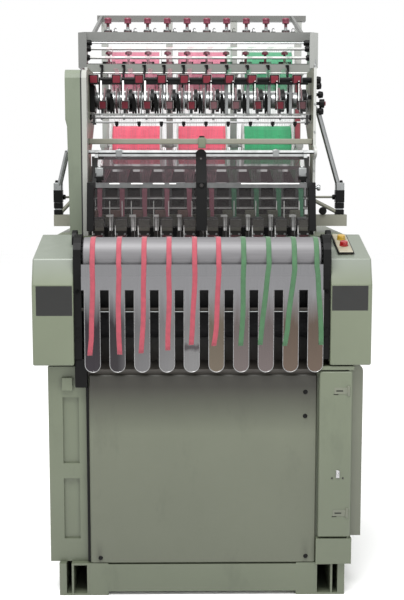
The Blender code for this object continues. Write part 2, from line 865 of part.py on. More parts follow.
def make_reed():
    """The batten with its ten small reeds."""
    half = 0.018
    end = BED_HALF - SEAT
    bar_top = REED_BAR_TOP
    points = [(-end, HOUSING_TOP + SEAT), (end, HOUSING_TOP + SEAT), (end, bar_top)]
    for x in reversed(row(HEAD_X + 0.035)):
        points += [(x + half, bar_top), (x + half, REED_TOP), (x - half, REED_TOP)]
        points.append((x - half, bar_top))
    points.append((-end, bar_top))
    outline("reed_batten", [points], "XZ", *backs(*span(REED_DEPTH, 0.010)), GREY_METAL)


def make_heald_frames():
    """Two heald frames, each on a pair of lifting rods that slide in bores in the housing."""
    places = (
        ("front_heald_frame", FRONT_HEALD_DEPTH, FRONT_HEALD_Z),
        ("back_heald_frame", BACK_HEALD_DEPTH, FRONT_HEALD_Z + SHED),
    )
    rail = HEALD_RAIL
    half = UPRIGHT_INNER - RUNNING
    foot = HOUSING_TOP - LIFTER_GRIP
    for name, depth, low in places:
        high = low + HEALD_HEIGHT
        outside = [(half, high), (-half, high), (-half, low)]
        for x in (-LIFTER_X, LIFTER_X):
            first, last = span(x, LIFTER_WIDTH)
            outside += [(first, low), (first, foot), (last, foot), (last, low)]
        outside.append((half, low))
        inside = [
            (-half + rail, low + rail),
            (half - rail, low + rail),
            (half - rail, high - rail),
            (-half + rail, high - rail),
        ]
        depths = backs(*span(depth, HEALD_THICK))
        outline(name, [outside, inside], "XZ", *depths, STEEL)
        for side in (-1, 1):
            bore = box(
                f"{name}_bore_{side + 1}",
                span(LIFTER_X * side, LIFTER_WIDTH + 2 * LIFTER_PLAY),
                backs(*span(depth, HEALD_THICK + 2 * LIFTER_PLAY)),
                (foot - SHED - RUNNING, HOUSING_TOP + 0.01),
            )
            cut(bpy.data.objects["upper_housing"], bore)


def make_uprights():
    low = SIDE_TOP + SEAT
    inner = UPRIGHT_INNER
    outer = inner + UPRIGHT_THICK
    profile = [
        (back(UPRIGHT_FRONT), low),
        (back(UPRIGHT_FRONT), UPRIGHT_TOP),
        (back(CROWN_BACK) - 0.03, UPRIGHT_TOP),
        (back(CROWN_BACK), UPRIGHT_TOP - 0.03),
        (back(CROWN_BACK), CROWN_LOW + 0.02),
        (back(UPRIGHT_BACK), CROWN_LOW - 0.10),
        (back(UPRIGHT_BACK), low),
    ]
    rod = (back(COVER_AXIS_DEPTH), COVER_AXIS_Z)
    shaft = circle((back(SHAFT_DEPTH), SHAFT_Z), AXLE_RADIUS + PIN_PLAY)
    for label, side in SIDES:
        upright = outline(
            label + "_upright", [profile, shaft], "YZ", *mirrored((inner, outer), side), PALE_GREEN
        )
        lug = [
            (back(UPRIGHT_FRONT) + 0.01, COVER_AXIS_Z - 0.03),
            (back(UPRIGHT_FRONT) + 0.01, COVER_AXIS_Z + 0.03),
            *arc(rod, 0.016, 90, 270, 8),
        ]
        bore = circle(rod, COVER_ROD_RADIUS + PIN_PLAY, 12)
        across = mirrored((inner, outer), side)
        join(upright, outline(label + "_cover_lug", [lug, bore], "YZ", *across))
    reach = inner - SEAT
    bar_depths = backs(*span(CROSS_BAR_DEPTH, 0.022))
    heights = (CROSS_BAR_LOW, CROSS_BAR_HIGH)
    box("upper_cross_bar", (-reach, reach), bar_depths, heights, PALE_GREEN, bevel=0.002)
    make_rear_beam(low)


def make_rear_beam(low):
    """The beam behind the uprights, on a short leg over each side casting."""
    half = REAR_BEAM_HALF
    leg = UPRIGHT_INNER, UPRIGHT_INNER + 0.03
    points = [
        (-half, REAR_BEAM_LOW),
        (-leg[1], REAR_BEAM_LOW),
        (-leg[1], low),
        (-leg[0], low),
        (-leg[0], REAR_BEAM_LOW),
        (leg[0], REAR_BEAM_LOW),
        (leg[0], low),
        (leg[1], low),
        (leg[1], REAR_BEAM_LOW),
        (half, REAR_BEAM_LOW),
        (half, REAR_BEAM_HIGH),
        (-half, REAR_BEAM_HIGH),
    ]
    depths = backs(*span(REAR_BEAM_DEPTH, REAR_BEAM_THICK))
    outline("rear_cross_beam", [points], "XZ", *depths, PALE_GREEN)


def make_stop_rail():
    """The dark apron behind the healds, with arms back to the rail of ten warp stop boxes."""
    front = REAR_BEAM_DEPTH + REAR_BEAM_THICK / 2 + STOP_APRON_GAP
    foot = BED_HALF - SEAT
    over = SIDE_TOP + SEAT
    points = [(-foot, over), (-foot, HOUSING_TOP + SEAT), (foot, HOUSING_TOP + SEAT), (foot, over)]
    flare = over + STOP_HALF - foot
    points += [(STOP_HALF, flare), (STOP_HALF, STOP_APRON_TOP)]
    points += [(-STOP_HALF, STOP_APRON_TOP), (-STOP_HALF, flare)]
    apron = outline(
        "warp_stop_rail", [points], "XZ", *backs(front, front + STOP_PLATE), BLACK
    )
    rail_back = STOP_RAIL_DEPTH + STOP_RAIL_THICK / 2
    for label, side in SIDES:
        arm = box(
            label + "_stop_arm",
            mirrored((STOP_HALF - STOP_PLATE, STOP_HALF - 0.001), side),
            backs(front + STOP_PLATE / 2, rail_back),
            (STOP_ARM_LOW, STOP_RAIL_HIGH),
        )
        join(apron, arm)
    rail = box(
        "stop_rail",
        (-STOP_HALF + 0.003, STOP_HALF - 0.003),
        backs(rail_back - STOP_RAIL_THICK, rail_back - 0.001),
        (STOP_RAIL_LOW, STOP_RAIL_HIGH - 0.001),
    )
    boxes = box(
        "stop_boxes",
        span(row(STOP_BOX_X)[0], STOP_BOX),
        backs(*span(STOP_RAIL_DEPTH, STOP_BOX_THICK)),
        (STOP_BOX_LOW, STOP_BOX_HIGH),
    )
    join(apron, rail, repeat(boxes, HEADS, (PITCH, 0, 0)))


def make_belt_cover():
    low = SIDE_TOP + SEAT
    front = back(SIDE_STEP)
    radius = BELT_COVER_TOP - SHAFT_Z
    centre = (back(SHAFT_DEPTH), SHAFT_Z)
    corner = 0.03
    foot_back = back(UPRIGHT_BACK - REAR_BEAM_GAP)
    side_view = [
        (front, low),
        (front, BELT_COVER_TOP - corner),
        *arc((front + corner, BELT_COVER_TOP - corner), corner, 180, 90, 3),
        *arc(centre, radius, 90, -35, 8),
        (foot_back, CROWN_LOW - 0.10),
        (foot_back, low),
    ]
    inner = UPRIGHT_INNER + UPRIGHT_THICK + SEAT
    cover = outline("belt_cover", [side_view], "YZ", -BELT_COVER_OUTER, -BELT_COVER_INNER, GREEN)
    lower = BELT_COVER_OUTER - 0.012
    front_view = [
        (-lower, low - 0.01),
        (-BELT_COVER_INNER + 0.01, low - 0.01),
        (-BELT_COVER_INNER + 0.01, BELT_COVER_TOP + 0.01),
        (-BELT_COVER_OUTER - 0.01, BELT_COVER_TOP + 0.01),
        (-BELT_COVER_OUTER, BELT_COVER_WAIST),
        (-BELT_COVER_OUTER + 0.006, BELT_COVER_WAIST - 0.025),
    ]
    reach = backs(SIDE_STEP - 0.01, CROWN_BACK + 0.1)
    common(cover, outline("belt_cover_front_view", [front_view], "XZ", *reach))
    notch = box(
        "belt_cover_notch",
        (-inner, 0),
        (back(SIDE_STEP + BELT_COVER_NOSE), back(DEPTH)),
        (low - 0.01, BELT_COVER_TOP + 0.01),
    )
    return cut(cover, notch)


def make_front_cover():
    """The smoked guard over the heads: a swinging frame, two panes and a middle strip."""
    axis = (back(COVER_AXIS_DEPTH), COVER_AXIS_Z)
    pin = UPRIGHT_INNER + UPRIGHT_THICK * 0.8
    place = (0, *axis)
    frame = turned("cover_frame", bar(COVER_ROD_RADIUS, -pin, pin), place, "X", GREY_METAL, 12)
    corner = (back(LOWER_PANE_DEPTH), LOWER_PANE_TOP)
    along = Vector(corner) - Vector(axis)
    side = Vector((-along.y, along.x)).normalized() * COVER_SIDE_WIDTH / 2
    ends = [Vector(axis) - side, Vector(axis) + side, Vector(corner) + side, Vector(corner) - side]
    ends = [tuple(point) for point in ends]
    for label, turn in SIDES:
        across = mirrored((COVER_SIDE_INNER, COVER_SIDE_INNER + COVER_SIDE_THICK), turn)
        join(frame, outline(label + "_cover_side", [ends], "YZ", *across))
    rod_low = COVER_AXIS_Z - COVER_ROD_DROP
    rod = span(back(COVER_AXIS_DEPTH) - COVER_ROD_RADIUS, CROSS_ROD)
    cross_half = COVER_SIDE_INNER + 0.001
    cross = box("cover_cross_rod", (-cross_half, cross_half), rod, (rod_low, rod_low + CROSS_ROD))
    reach = COVER_HALF - COVER_CHEEK / 2
    strip = span(corner[0], JOINT_DEPTH)
    joint = box("cover_joint", (-reach, reach), strip, (JOINT_LOW, JOINT_HIGH))
    join(frame, cross, joint)
    upper = make_upper_pane(rod[0], rod_low)
    lower = make_lower_pane(frame)
    middle = make_centre_strip(strip[0] - SEAT, rod[0] - SEAT)
    hang("cover_hinge_axis", place, frame, upper, lower, middle)


def make_upper_pane(front, rod_low):
    thick = PANE_THICK
    top = (front, rod_low - SEAT)
    foot = (back(LOWER_PANE_DEPTH), JOINT_HIGH + SEAT)
    upper = [top, (top[0] + thick, top[1]), (foot[0] + thick, foot[1]), foot]
    half = UPPER_PANE_HALF
    return outline("cover_upper_pane", [upper], "YZ", -half, half, SMOKED)


def make_lower_pane(frame):
    """The lower pane, and the two black cheeks of the frame that close its ends."""
    thick = PANE_THICK
    start = (back(LOWER_PANE_DEPTH) - thick / 2, JOINT_LOW - SEAT)
    end = (start[0] - LOWER_PANE_LEAN, LOWER_PANE_LOW)
    lower = [start, (start[0] + thick, start[1]), (end[0] + thick, end[1]), end]
    inner = COVER_HALF - COVER_CHEEK - SEAT
    pane = outline("cover_lower_pane", [lower], "YZ", -inner, inner, SMOKED)
    cheek = [
        (start[0] - 0.004, JOINT_HIGH),
        (start[0] + 0.030, JOINT_HIGH),
        (end[0] + 0.040, LOWER_PANE_LOW - 0.012),
        (end[0] - 0.006, LOWER_PANE_LOW - 0.012),
    ]
    for label, side in SIDES:
        across = mirrored((COVER_HALF - COVER_CHEEK, COVER_HALF), side)
        join(frame, outline(label + "_cover_cheek", [cheek], "YZ", *across))
    return pane


def make_centre_strip(joint_front, rod_front):
    """The black round-topped strip that runs down the middle of both panes."""
    low = LOWER_PANE_LOW - 0.010
    high = COVER_AXIS_Z + 0.010
    half = COVER_STRIP_WIDTH / 2
    shape = [(-half, low), (half, low), *arc((0, high - half), half, 0, 180, 10)]
    foot = back(LOWER_PANE_DEPTH) - PANE_THICK / 2 - LOWER_PANE_LEAN - 0.003
    inside = [
        (foot, low - 0.001),
        (joint_front, JOINT_LOW),
        (joint_front, JOINT_HIGH + SEAT),
        (rod_front, COVER_AXIS_Z - COVER_ROD_DROP),
        (rod_front, high + 0.01),
    ]
    outside = [(y - COVER_STRIP_THICK, z) for y, z in reversed(inside)]
    across = (-half - 0.01, half + 0.01)
    strip = outline("cover_centre_strip", [inside + outside], "YZ", *across, BLACK)
    return common(strip, outline("strip_front_view", [shape], "XZ", *backs(0, UPRIGHT_FRONT)))


def make_feeder():
    """Two rows of knobs on bars, and the turning shaft with three wheels at each head."""
    reach = UPRIGHT_INNER - SEAT
    upper = (0, back(UPPER_FEED_DEPTH), UPPER_FEED_Z)
    top_bar = turned("upper_feed_bar", bar(UPPER_FEED_RADIUS, -reach, reach), upper, "X", BLACK, 10)
    first = row(FEED_X)[0]
    knob = box(
        "upper_knobs",
        span(first, KNOB_SIZE),
        backs(*span(UPPER_FEED_DEPTH - KNOB_SIZE * 0.75, KNOB_SIZE)),
        span(UPPER_FEED_Z, KNOB_SIZE),
    )
    join(top_bar, repeat(knob, HEADS, (PITCH, 0, 0)))
    make_feed_shaft()
    make_lower_feed(reach)
    make_guide_rods(reach)


def make_guide_rods(reach):
    """Two collared rods, one over the other, tied by a small plate at each end."""
    profile = [(0, -reach), (GUIDE_ROD_RADIUS, -reach)]
    for x in row(LOWER_FEED_X):
        low, high = span(x, COLLAR_WIDTH)
        profile += [(GUIDE_ROD_RADIUS, low), (COLLAR_RADIUS, low)]
        profile += [(COLLAR_RADIUS, high), (GUIDE_ROD_RADIUS, high)]
    profile += [(GUIDE_ROD_RADIUS, reach), (0, reach)]
    depth = back(GUIDE_ROD_DEPTH)
    low_z, high_z = GUIDE_ROD_Z
    rods = turned("guide_rods", profile, (0, depth, high_z), "X", STEEL, 8)
    thin = bar(GUIDE_ROD_RADIUS * 0.7, -reach + 0.002, reach - 0.002)
    join(rods, turned("thin_guide_rod", thin, (0, depth, low_z), "X", None, 8))
    for label, side in SIDES:
        plate = box(
            label + "_guide_rod_tie",
            mirrored((reach - 0.022, reach - 0.010), side),
            span(depth, 0.012),
            (low_z - 0.009, high_z + 0.009),
        )
        join(rods, plate)


def make_feed_shaft():
    face = UPRIGHT_INNER - RUNNING
    pin = UPRIGHT_INNER + UPRIGHT_THICK * 0.8
    profile = [(0, -pin), (AXLE_RADIUS, -pin), (AXLE_RADIUS, -face), (SHAFT_RADIUS, -face)]
    for x in row(WHEEL_X):
        for offset, thick, radius in FEED_WHEELS:
            low, high = span(x + offset, thick)
            profile += [(SHAFT_RADIUS, low), (radius, low), (radius, high), (SHAFT_RADIUS, high)]
    profile += [(SHAFT_RADIUS, face), (AXLE_RADIUS, face), (AXLE_RADIUS, pin), (0, pin)]
    turned("weft_feed_shaft", profile, (0, back(SHAFT_DEPTH), SHAFT_Z), "X", STEEL, 12)


def make_lower_feed(reach):
    """A bar with ten upright arms, each with a square knob at its end."""
    bar_low, bar_high = LOWER_FEED_BAR
    half = ARM_WIDTH / 2
    points = [(-reach, bar_low), (reach, bar_low), (reach, bar_high)]
    for x in reversed(row(LOWER_FEED_X)):
        points += [(x + half, bar_high), (x + half, LOWER_FEED_Z), (x - half, LOWER_FEED_Z)]
        points.append((x - half, bar_high))
    points.append((-reach, bar_high))
    depths = backs(*span(LOWER_FEED_DEPTH, 0.010))
    lower = outline("lower_feed_bar", [points], "XZ", *depths, BLACK)
    knob = box(
        "lower_knobs",
        span(row(LOWER_FEED_X)[0], KNOB_SIZE),
        backs(*span(LOWER_FEED_DEPTH - 0.004, KNOB_SIZE * 0.8)),
        span(LOWER_FEED_Z + 0.004, KNOB_SIZE),
    )
    join(lower, repeat(knob, HEADS, (PITCH, 0, 0)))


def make_rocker_rods():
    """A slanted rod each side, from a pivot above down to its coupling on the rear beam."""
    upright = UPRIGHT_INNER + UPRIGHT_THICK
    make_rocker("left", LEFT_ROCKER_TOP, LEFT_COUPLING_X, -BELT_COVER_OUTER)
    make_rocker("right", RIGHT_ROCKER_TOP, RIGHT_COUPLING_X, upright)


def make_rocker(label, top, x, seat):
    side = math.copysign(1, x)
    depth = REAR_BEAM_DEPTH
    start = Vector((top[0], back(top[1]), top[2]))
    end = Vector((x, back(depth), COUPLING_TOP - 0.03))
    rod = tube(label + "_rocker_rod", [start, end], ROCKER_RADIUS, GREY_METAL)
    reach = (abs(top[0] - seat) - SEAT) / 2
    middle = Vector((seat + side * (SEAT + reach), start.y, start.z))
    pivot = turned(label + "_pivot", bar(PIVOT_RADIUS, -reach, reach), middle, "X", None, 12)
    coupling = box(
        label + "_coupling",
        span(x, COUPLING_WIDTH),
        backs(*span(depth, COUPLING_DEPTH)),
        (COUPLING_LOW, COUPLING_TOP),
        bevel=0.003,
    )
    block = box(
        label + "_coupling_block",
        span(x, COUPLING_WIDTH * 0.8),
        backs(*span(depth, COUPLING_DEPTH * 0.7)),
        (REAR_BEAM_HIGH + SEAT, COUPLING_LOW + 0.002),
    )
    join(rod, pivot, coupling, block)


def make_rack():
    """The guide rack: two side plates, the bars and rods between them, and arms to the creel."""
    for label, x, side in (("left", RACK_LEFT, -1), ("right", RACK_RIGHT, 1)):
        points = [
            (back(RACK_FRONT), RACK_LOW),
            (back(RACK_FRONT), RACK_SHOULDER),
            (back(TOP_BAR_DEPTH - RACK_BAR_THICK / 2), TOP_BAR_HIGH),
            (back(RACK_BACK), TOP_BAR_HIGH),
            (back(RACK_BACK), RACK_LOW + 0.02),
            (back(RACK_BACK) - 0.02, RACK_LOW),
        ]
        low, high = sorted((x, x + RACK_PLATE * side))
        plate = outline(f"{label}_rack_plate", [points], "YZ", low, high, PALE_GREEN)
        flange = box(
            f"{label}_rack_flange",
            sorted((x - RACK_FLANGE * side, x + RACK_PLATE * side / 2)),
            backs(RACK_FRONT, RACK_FRONT + RACK_FLANGE_THICK),
            (RACK_LOW, RACK_SHOULDER),
        )
        join(plate, flange)
    left = RACK_LEFT + SEAT
    right = RACK_RIGHT - SEAT
    box(
        "second_rack_bar",
        (left + RACK_FLANGE, right - RACK_FLANGE),
        backs(*span(SECOND_BAR_DEPTH, RACK_BAR_THICK * 0.7)),
        (SECOND_BAR_LOW, SECOND_BAR_HIGH),
        PALE_GREEN,
    )
    heights = (TOP_BAR_LOW, TOP_BAR_HIGH)
    carrier = make_tension_bar("top_tension_bar", left, right, TOP_BAR_DEPTH, heights)
    for label, x, side in (("left", left, -1), ("right", right, 1)):
        join(carrier, make_rack_arm(label, x - RACK_ARM_INSET * side, side))
    heights = (TENSION_BAR_LOW, TENSION_BAR_HIGH)
    make_tension_bar("lower_tension_bar", left, right, TENSION_BAR_DEPTH, heights)
    middle = (left + right) / 2
    reach = (right - left) / 2
    for name, (depth, z) in zip(("upper_rack_rod", "lower_rack_rod"), RACK_RODS):
        place = (middle, back(depth), z)
        turned(name, bar(RACK_ROD_RADIUS, -reach, reach), place, "X", STEEL, 10)


def make_rack_arm(label, x, side):
    """A flat arm that carries the rack, from the top bar up and back to the creel."""
    start = back(TOP_BAR_DEPTH)
    end = back(POST_DEPTH - CREEL_BAR_DEPTH / 2 - SEAT)
    top = CREEL_TOP - 0.001
    points = [(start, TOP_BAR_HIGH - 0.002), (end, top), (end, top - RACK_ARM)]
    points.append((start, TOP_BAR_HIGH - 0.002 - RACK_ARM))
    low, high = sorted((x, x - RACK_ARM_THICK * side))
    return outline(label + "_rack_arm", [points], "YZ", low, high)


def make_tension_bar(name, left, right, depth, heights):
    """A bar with ten thread tensioners: a disc, a stem and a domed cap each."""
    depths = backs(*span(depth, RACK_BAR_THICK))
    carrier = box(name, (left, right), depths, heights, PALE_GREEN)
    tall = TENSIONER_HEIGHT
    profile = [
        (0, -0.004),
        (TENSIONER_DISC, -0.004),
        (TENSIONER_DISC, 0.004),
        (TENSIONER_STEM, 0.006),
        (TENSIONER_STEM, tall - 0.016),
        (TENSIONER_CAP, tall - 0.012),
        (TENSIONER_CAP, tall - 0.003),
        (TENSIONER_CAP * 0.6, tall),
        (0, tall),
    ]
    start = (row(TENSIONER_X)[0], back(depth), heights[1])
    posts = turned(name + "_tensioners", profile, start, "Z", None, 6)
    join(carrier, repeat(posts, HEADS, (PITCH, 0, 0)))
    return carrier


def make_creel():
    low, high = backs(*span(POST_DEPTH, POST_THICK))
    posts = [CREEL_X + CREEL_BAY * (number - 1.5) for number in range(4)]
    arm_front = back(BEAM_DEPTH)
    post_top = CREEL_TOP - CREEL_BAR - SEAT
    for number, x in enumerate(posts):
        foot = CREEL_FOOT + SEAT
        points = [(high, foot), (high, post_top), (low, post_top)]
        holes = []
        for z in reversed(BEAM_ROWS):
            points.append((low, z + LUG_RADIUS))
            points += arc((arm_front, z), LUG_RADIUS, 90, 270, 8)
            points.append((low, z - LUG_RADIUS))
            holes.append(circle((arm_front, z), BEAM_AXLE + PIN_PLAY, 12))
        points.append((low, foot))
        name = f"creel_post_{number + 1}"
        outline(name, [points, *holes], "YZ", *span(x, POST_WIDTH), PALE_GREEN)
    half = POST_WIDTH / 2
    box(
        "creel_top_bar",
        (posts[0] - half - CREEL_OVERHANG, posts[3] + half + CREEL_OVERHANG),
        backs(*span(POST_DEPTH, CREEL_BAR_DEPTH)),
        (CREEL_TOP - CREEL_BAR, CREEL_TOP),
        PALE_GREEN,
    )
    left, right = posts[0] - half, posts[3] + half
    front = back(BED_BACK + SEAT)
    plan = [
        (left, front),
        (left + POST_WIDTH, front),
        (left + POST_WIDTH, low),
        (right - POST_WIDTH, low),
        (right - POST_WIDTH, front),
        (right, front),
        (right, back(DEPTH)),
        (right - POST_WIDTH, back(DEPTH)),
        (right - POST_WIDTH, high),
        (left + POST_WIDTH, high),
        (left + POST_WIDTH, back(DEPTH)),
        (left, back(DEPTH)),
    ]
    outline("creel_base", [plan], "XY", 0, CREEL_FOOT, PALE_GREEN)
    make_warp_beams(posts)


def make_warp_beams(posts):
    """Six flanged beams of yarn, each turning on an axle between two posts."""
    half = BEAM_YARN / 2
    face = half + FLANGE_THICK
    pin = CREEL_BAY / 2 - PIN_PLAY
    profile = [
        (0, -pin),
        (BEAM_AXLE, -pin),
        (BEAM_AXLE, -face),
        (FLANGE_RADIUS, -face),
        (FLANGE_RADIUS, -half),
        (BEAM_RADIUS, -half),
        (BEAM_RADIUS, half),
        (FLANGE_RADIUS, half),
        (FLANGE_RADIUS, face),
        (BEAM_AXLE, face),
        (BEAM_AXLE, pin),
        (0, pin),
    ]
    for level, z in zip(("lower", "upper"), BEAM_ROWS):
        for bay, label in enumerate(("left", "middle", "right")):
            x = (posts[bay] + posts[bay + 1]) / 2
            yarn = EMERALD if label == "right" else PINK
            name = f"{level}_{label}_warp_beam"
            turned(name, profile, (x, back(BEAM_DEPTH), z), "X", yarn, 18)


def shade_round_pieces():
    for obj in PARTS.objects:
        if any(modifier.type == "SCREW" for modifier in obj.modifiers):
            obj.data.shade_smooth()


make_base()
make_bed()
make_cabinet()
make_wings()
make_take_off()
make_heads()
make_reed()
make_heald_frames()
make_uprights()
make_stop_rail()
make_belt_cover()
make_front_cover()
make_feeder()
make_rocker_rods()
make_rack()
make_creel()
shade_round_pieces()
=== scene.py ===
# Scene of the ribbon needle loom: materials, threads, ribbons, small fittings, camera and light.
# Metres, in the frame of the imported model: +X right, +Y to the back, +Z up. Blocks and turned
# profiles are in millimetres. A depth is measured backwards from the front of the wings.

import math
import random

import bmesh
import bpy
from mathutils import Matrix, Vector


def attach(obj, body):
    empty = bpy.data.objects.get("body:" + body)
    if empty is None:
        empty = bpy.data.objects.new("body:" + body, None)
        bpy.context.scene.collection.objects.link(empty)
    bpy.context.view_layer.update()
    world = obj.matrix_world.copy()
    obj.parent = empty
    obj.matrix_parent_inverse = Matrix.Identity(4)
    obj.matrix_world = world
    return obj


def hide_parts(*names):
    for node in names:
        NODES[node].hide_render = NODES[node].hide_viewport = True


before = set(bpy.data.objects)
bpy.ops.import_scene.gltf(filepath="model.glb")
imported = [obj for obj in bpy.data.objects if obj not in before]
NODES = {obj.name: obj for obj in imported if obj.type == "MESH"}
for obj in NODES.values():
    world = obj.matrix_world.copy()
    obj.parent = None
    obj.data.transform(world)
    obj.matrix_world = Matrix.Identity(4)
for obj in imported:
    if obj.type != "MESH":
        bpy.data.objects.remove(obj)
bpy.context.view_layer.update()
FRAME = "loom_frame"
COVER = "front_cover"
DEPTH = 1.690
HEADS = 10
PINK_HEADS = 6
PITCH = 0.083
draw = random.Random(41)

# The middle of each row of ten
CAP_ROW = -0.009
UPPER_KNOB_ROW = -0.019
LOWER_KNOB_ROW = 0.006
WHEEL_ROW = -0.003
HEAD_ROW = -0.036
WARP_ROW = -0.001
TONGUE_ROW = 0.006

# Axes across the machine, and the two heald frames, as (depth, z) or a depth
ROLLER_AXIS = (0.074, 1.176)
SHAFT_AXIS = (0.630, 1.725)
FRONT_HEALD, BACK_HEALD = 0.466, 0.490
UPPER_BEAMS, LOWER_BEAMS = 1.908, 1.573
BEAM_MIDDLES = (-0.2845, 0.0165, 0.3175)
BEAM_PITCH = 0.301


def back(depth):
    """The world Y of a depth behind the front of the wings."""
    return depth - DEPTH / 2


def at(x, depth, z):
    return Vector((x, back(depth), z))


def row(centre, count=HEADS):
    first = centre - PITCH * (count - 1) / 2
    return [first + PITCH * place for place in range(count)]


def link(name, data):
    obj = bpy.data.objects.new(name, data)
    bpy.context.scene.collection.objects.link(obj)
    return obj


def place_camera():
    data = bpy.data.cameras.new("camera")
    data.lens = 65.28
    data.sensor_width = 36
    data.clip_end = 100
    camera = link("camera", data)
    camera.location = (-0.045, -4.445, 1.475)
    camera.rotation_euler = (math.radians(83.0), 0, math.radians(-0.7))
    bpy.context.scene.camera = camera


place_camera()

# Materials

PAINTS = {}
MIX_FACTOR, MIX_FIRST, MIX_SECOND, MIX_COLOUR = 0, 6, 7, 2


class Paint:
    """A Principled material whose colour, roughness and bump come from noise."""

    def __init__(self, name, roughness=0.45, metallic=0.0):
        PAINTS[name] = material = bpy.data.materials.new(name)
        material.use_nodes = True
        self.tree = material.node_tree
        self.shader = self.tree.nodes["Principled BSDF"]
        self.set("Roughness", roughness).set("Metallic", metallic)
        self.place = self.node("TexCoord", {}, "Object")
        split = self.node("SeparateXYZ", {"Vector": self.place}, "X").node
        self.x, self.y, self.z = split.outputs

    def put(self, socket, value):
        """Gives a socket a number, a colour or the output of another node."""
        if isinstance(value, bpy.types.NodeSocket):
            self.tree.links.new(value, socket)
        else:
            socket.default_value = (*value, 1) if socket.type == "RGBA" else value

    def set(self, name, value):
        self.put(self.shader.inputs[name], value)
        return self

    def node(self, kind, values, output, **settings):
        """One output of a new node, with its settings and its inputs."""
        node = self.tree.nodes.new("ShaderNode" + kind)
        for name, value in settings.items():
            setattr(node, name, value)
        for name, value in values.items():
            self.put(node.inputs[name], value)
        return node.outputs[output]

    def noise(self, size, detail=4.0, stretch=(1, 1, 1), rough=0.55):
        place = self.node("Mapping", {"Vector": self.place, "Scale": stretch}, "Vector")
        values = {"Vector": place, "Scale": size, "Detail": detail, "Roughness": rough}
        return self.node("TexNoise", values, "Fac")

    def wave(self, values, direction="X"):
        values["Vector"] = self.place
        return self.node("TexWave", values, "Fac", bands_direction=direction)

    def math(self, operation, *values):
        return self.node("Math", dict(enumerate(values)), "Value", operation=operation)

    def times(self, *values):
        """The product of several values. Of masks, it is where they all are."""
        total = values[0]
        for value in values[1:]:
            total = self.math("MULTIPLY", total, value)
        return total

    def either(self, *masks):
        total = masks[0]
        for mask in masks[1:]:
            total = self.math("MAXIMUM", total, mask)
        return total

    def above(self, output, limit):
        return self.math("GREATER_THAN", output, limit)

    def below(self, output, limit):
        return self.math("LESS_THAN", output, limit)

    def across(self):
        """The distance from the middle of the machine, to either side."""
        return self.math("ABSOLUTE", self.x)

    def between(self, output, low, high):
        """0 at the low value and 1 at the high one, held beyond them."""
        values = {"Value": output, "From Min": low, "From Max": high}
        return self.node("MapRange", values, "Result")

    def ramp(self, fac, stops):
        output = self.node("ValToRGB", {"Fac": fac}, "Color")
        elements = output.node.color_ramp.elements
        while len(elements) < len(stops):
            elements.new(0.5)
        for element, (place, colour) in zip(elements, stops):
            element.position = place
            element.color = (*colour, 1)
        return output

    def blend(self, fac, first, second, low=0.3, high=0.7):
        return self.ramp(fac, [(low, first), (high, second)])

    def mix(self, fac, first, second):
        values = {MIX_FACTOR: fac, MIX_FIRST: first, MIX_SECOND: second}
        return self.node("Mix", values, MIX_COLOUR, data_type="RGBA")

    def colour(self, output):
        return self.set("Base Color", output)

    def rough(self, fac, low, high):
        values = {"Value": fac, "To Min": low, "To Max": high}
        return self.set("Roughness", self.node("MapRange", values, "Result"))

    def bump(self, height, strength, distance=0.0004):
        values = {"Height": height, "Strength": strength, "Distance": distance}
        return self.set("Normal", self.node("Bump", values, "Normal"))


def tone(red, green, blue):
    """The paint colour that looks like an sRGB one (0 to 255) in this studio's light."""
    return tuple((channel / 255) ** 2.2 * 0.36 for channel in (red, green, blue))


def shade(colour, factor):
    return tuple(channel * factor for channel in colour)


GREEN = tone(146, 156, 129)
# Painted highlight for the wings' brow, where the light falls from above
PAINTED_TOP_LIGHT = tone(158, 167, 152)
RIBBON_PINK = tone(210, 76, 96)
RIBBON_GREEN = tone(70, 130, 80)
UPPER_PINK = shade(tone(232, 136, 160), 1.25)
LOWER_PINK = shade(tone(240, 100, 122), 2.3)
UPPER_GREEN = shade(tone(78, 172, 124), 1.4)
LOWER_GREEN = shade(tone(58, 172, 114), 2.0)
RACK = shade(tone(156, 158, 154), 0.89)
WHITES = ((0.40, 0.40, 0.39), (0.52, 0.52, 0.51))


def enamel(name, colour, worn=0.05, shade_and_marks=None, rough=(0.34, 0.52)):
    """Sprayed enamel: a slow drift of tone, fine orange peel, and a darkening towards the bottom.
    """
    paint = Paint(name)
    base = paint.blend(paint.noise(3.2, 5), shade(colour, 1 - worn), shade(colour, 1 + worn))
    stain = paint.between(paint.noise(9.0, 8, (1, 1, 0.35), 0.7), 0.56, 0.92)
    coat = paint.mix(stain, base, shade(colour, 0.62))
    low = paint.times(paint.between(paint.z, 0.95, 0.05), 0.32)
    coat = paint.mix(low, coat, shade(colour, 0.12))
    # Where given, painted shade and painted light, with some real marks, laid over the coat by a
    # mask
    if shade_and_marks:
        share, deep = shade_and_marks(paint)
        coat = paint.mix(share, coat, deep)
    paint.colour(coat).rough(paint.noise(26, 4), *rough).bump(paint.noise(420, 2), 0.10, 0.0006)


def behind_sheet(paint):
    """The black inside between the side castings, above the bed and in front of the healds: black
    paint and painted shade, the shade thinning lower down.
    """
    within = paint.below(paint.across(), 0.3897)
    share = paint.times(within, paint.above(paint.z, 0.770), paint.below(paint.y, back(0.400)))
    # The painted shade thins to a lighter grey-brown towards the bottom of the recess
    shade_thinning = paint.between(paint.z, 0.880, 0.800)
    return share, paint.mix(shade_thinning, tone(18, 18, 19), tone(112, 106, 98))


def under_sheet(paint):
    """Painted shadow of the sheet's tips across the top of the panel, and rust runs above the two
    lower screws.
    """
    # Painted shadow below the tips of the sheet
    share = paint.times(paint.between(paint.z, 0.575, 0.735), 0.97)
    aside = paint.math("ABSOLUTE", paint.math("SUBTRACT", paint.across(), 0.352))
    run = paint.times(
        paint.between(aside, 0.018, 0.002),
        paint.between(paint.z, 0.215, 0.125),
        paint.between(paint.noise(40, 4, (1, 1, 0.3)), 0.35, 0.60),
        0.62,
    )
    return paint.either(share, run), tone(56, 53, 43)


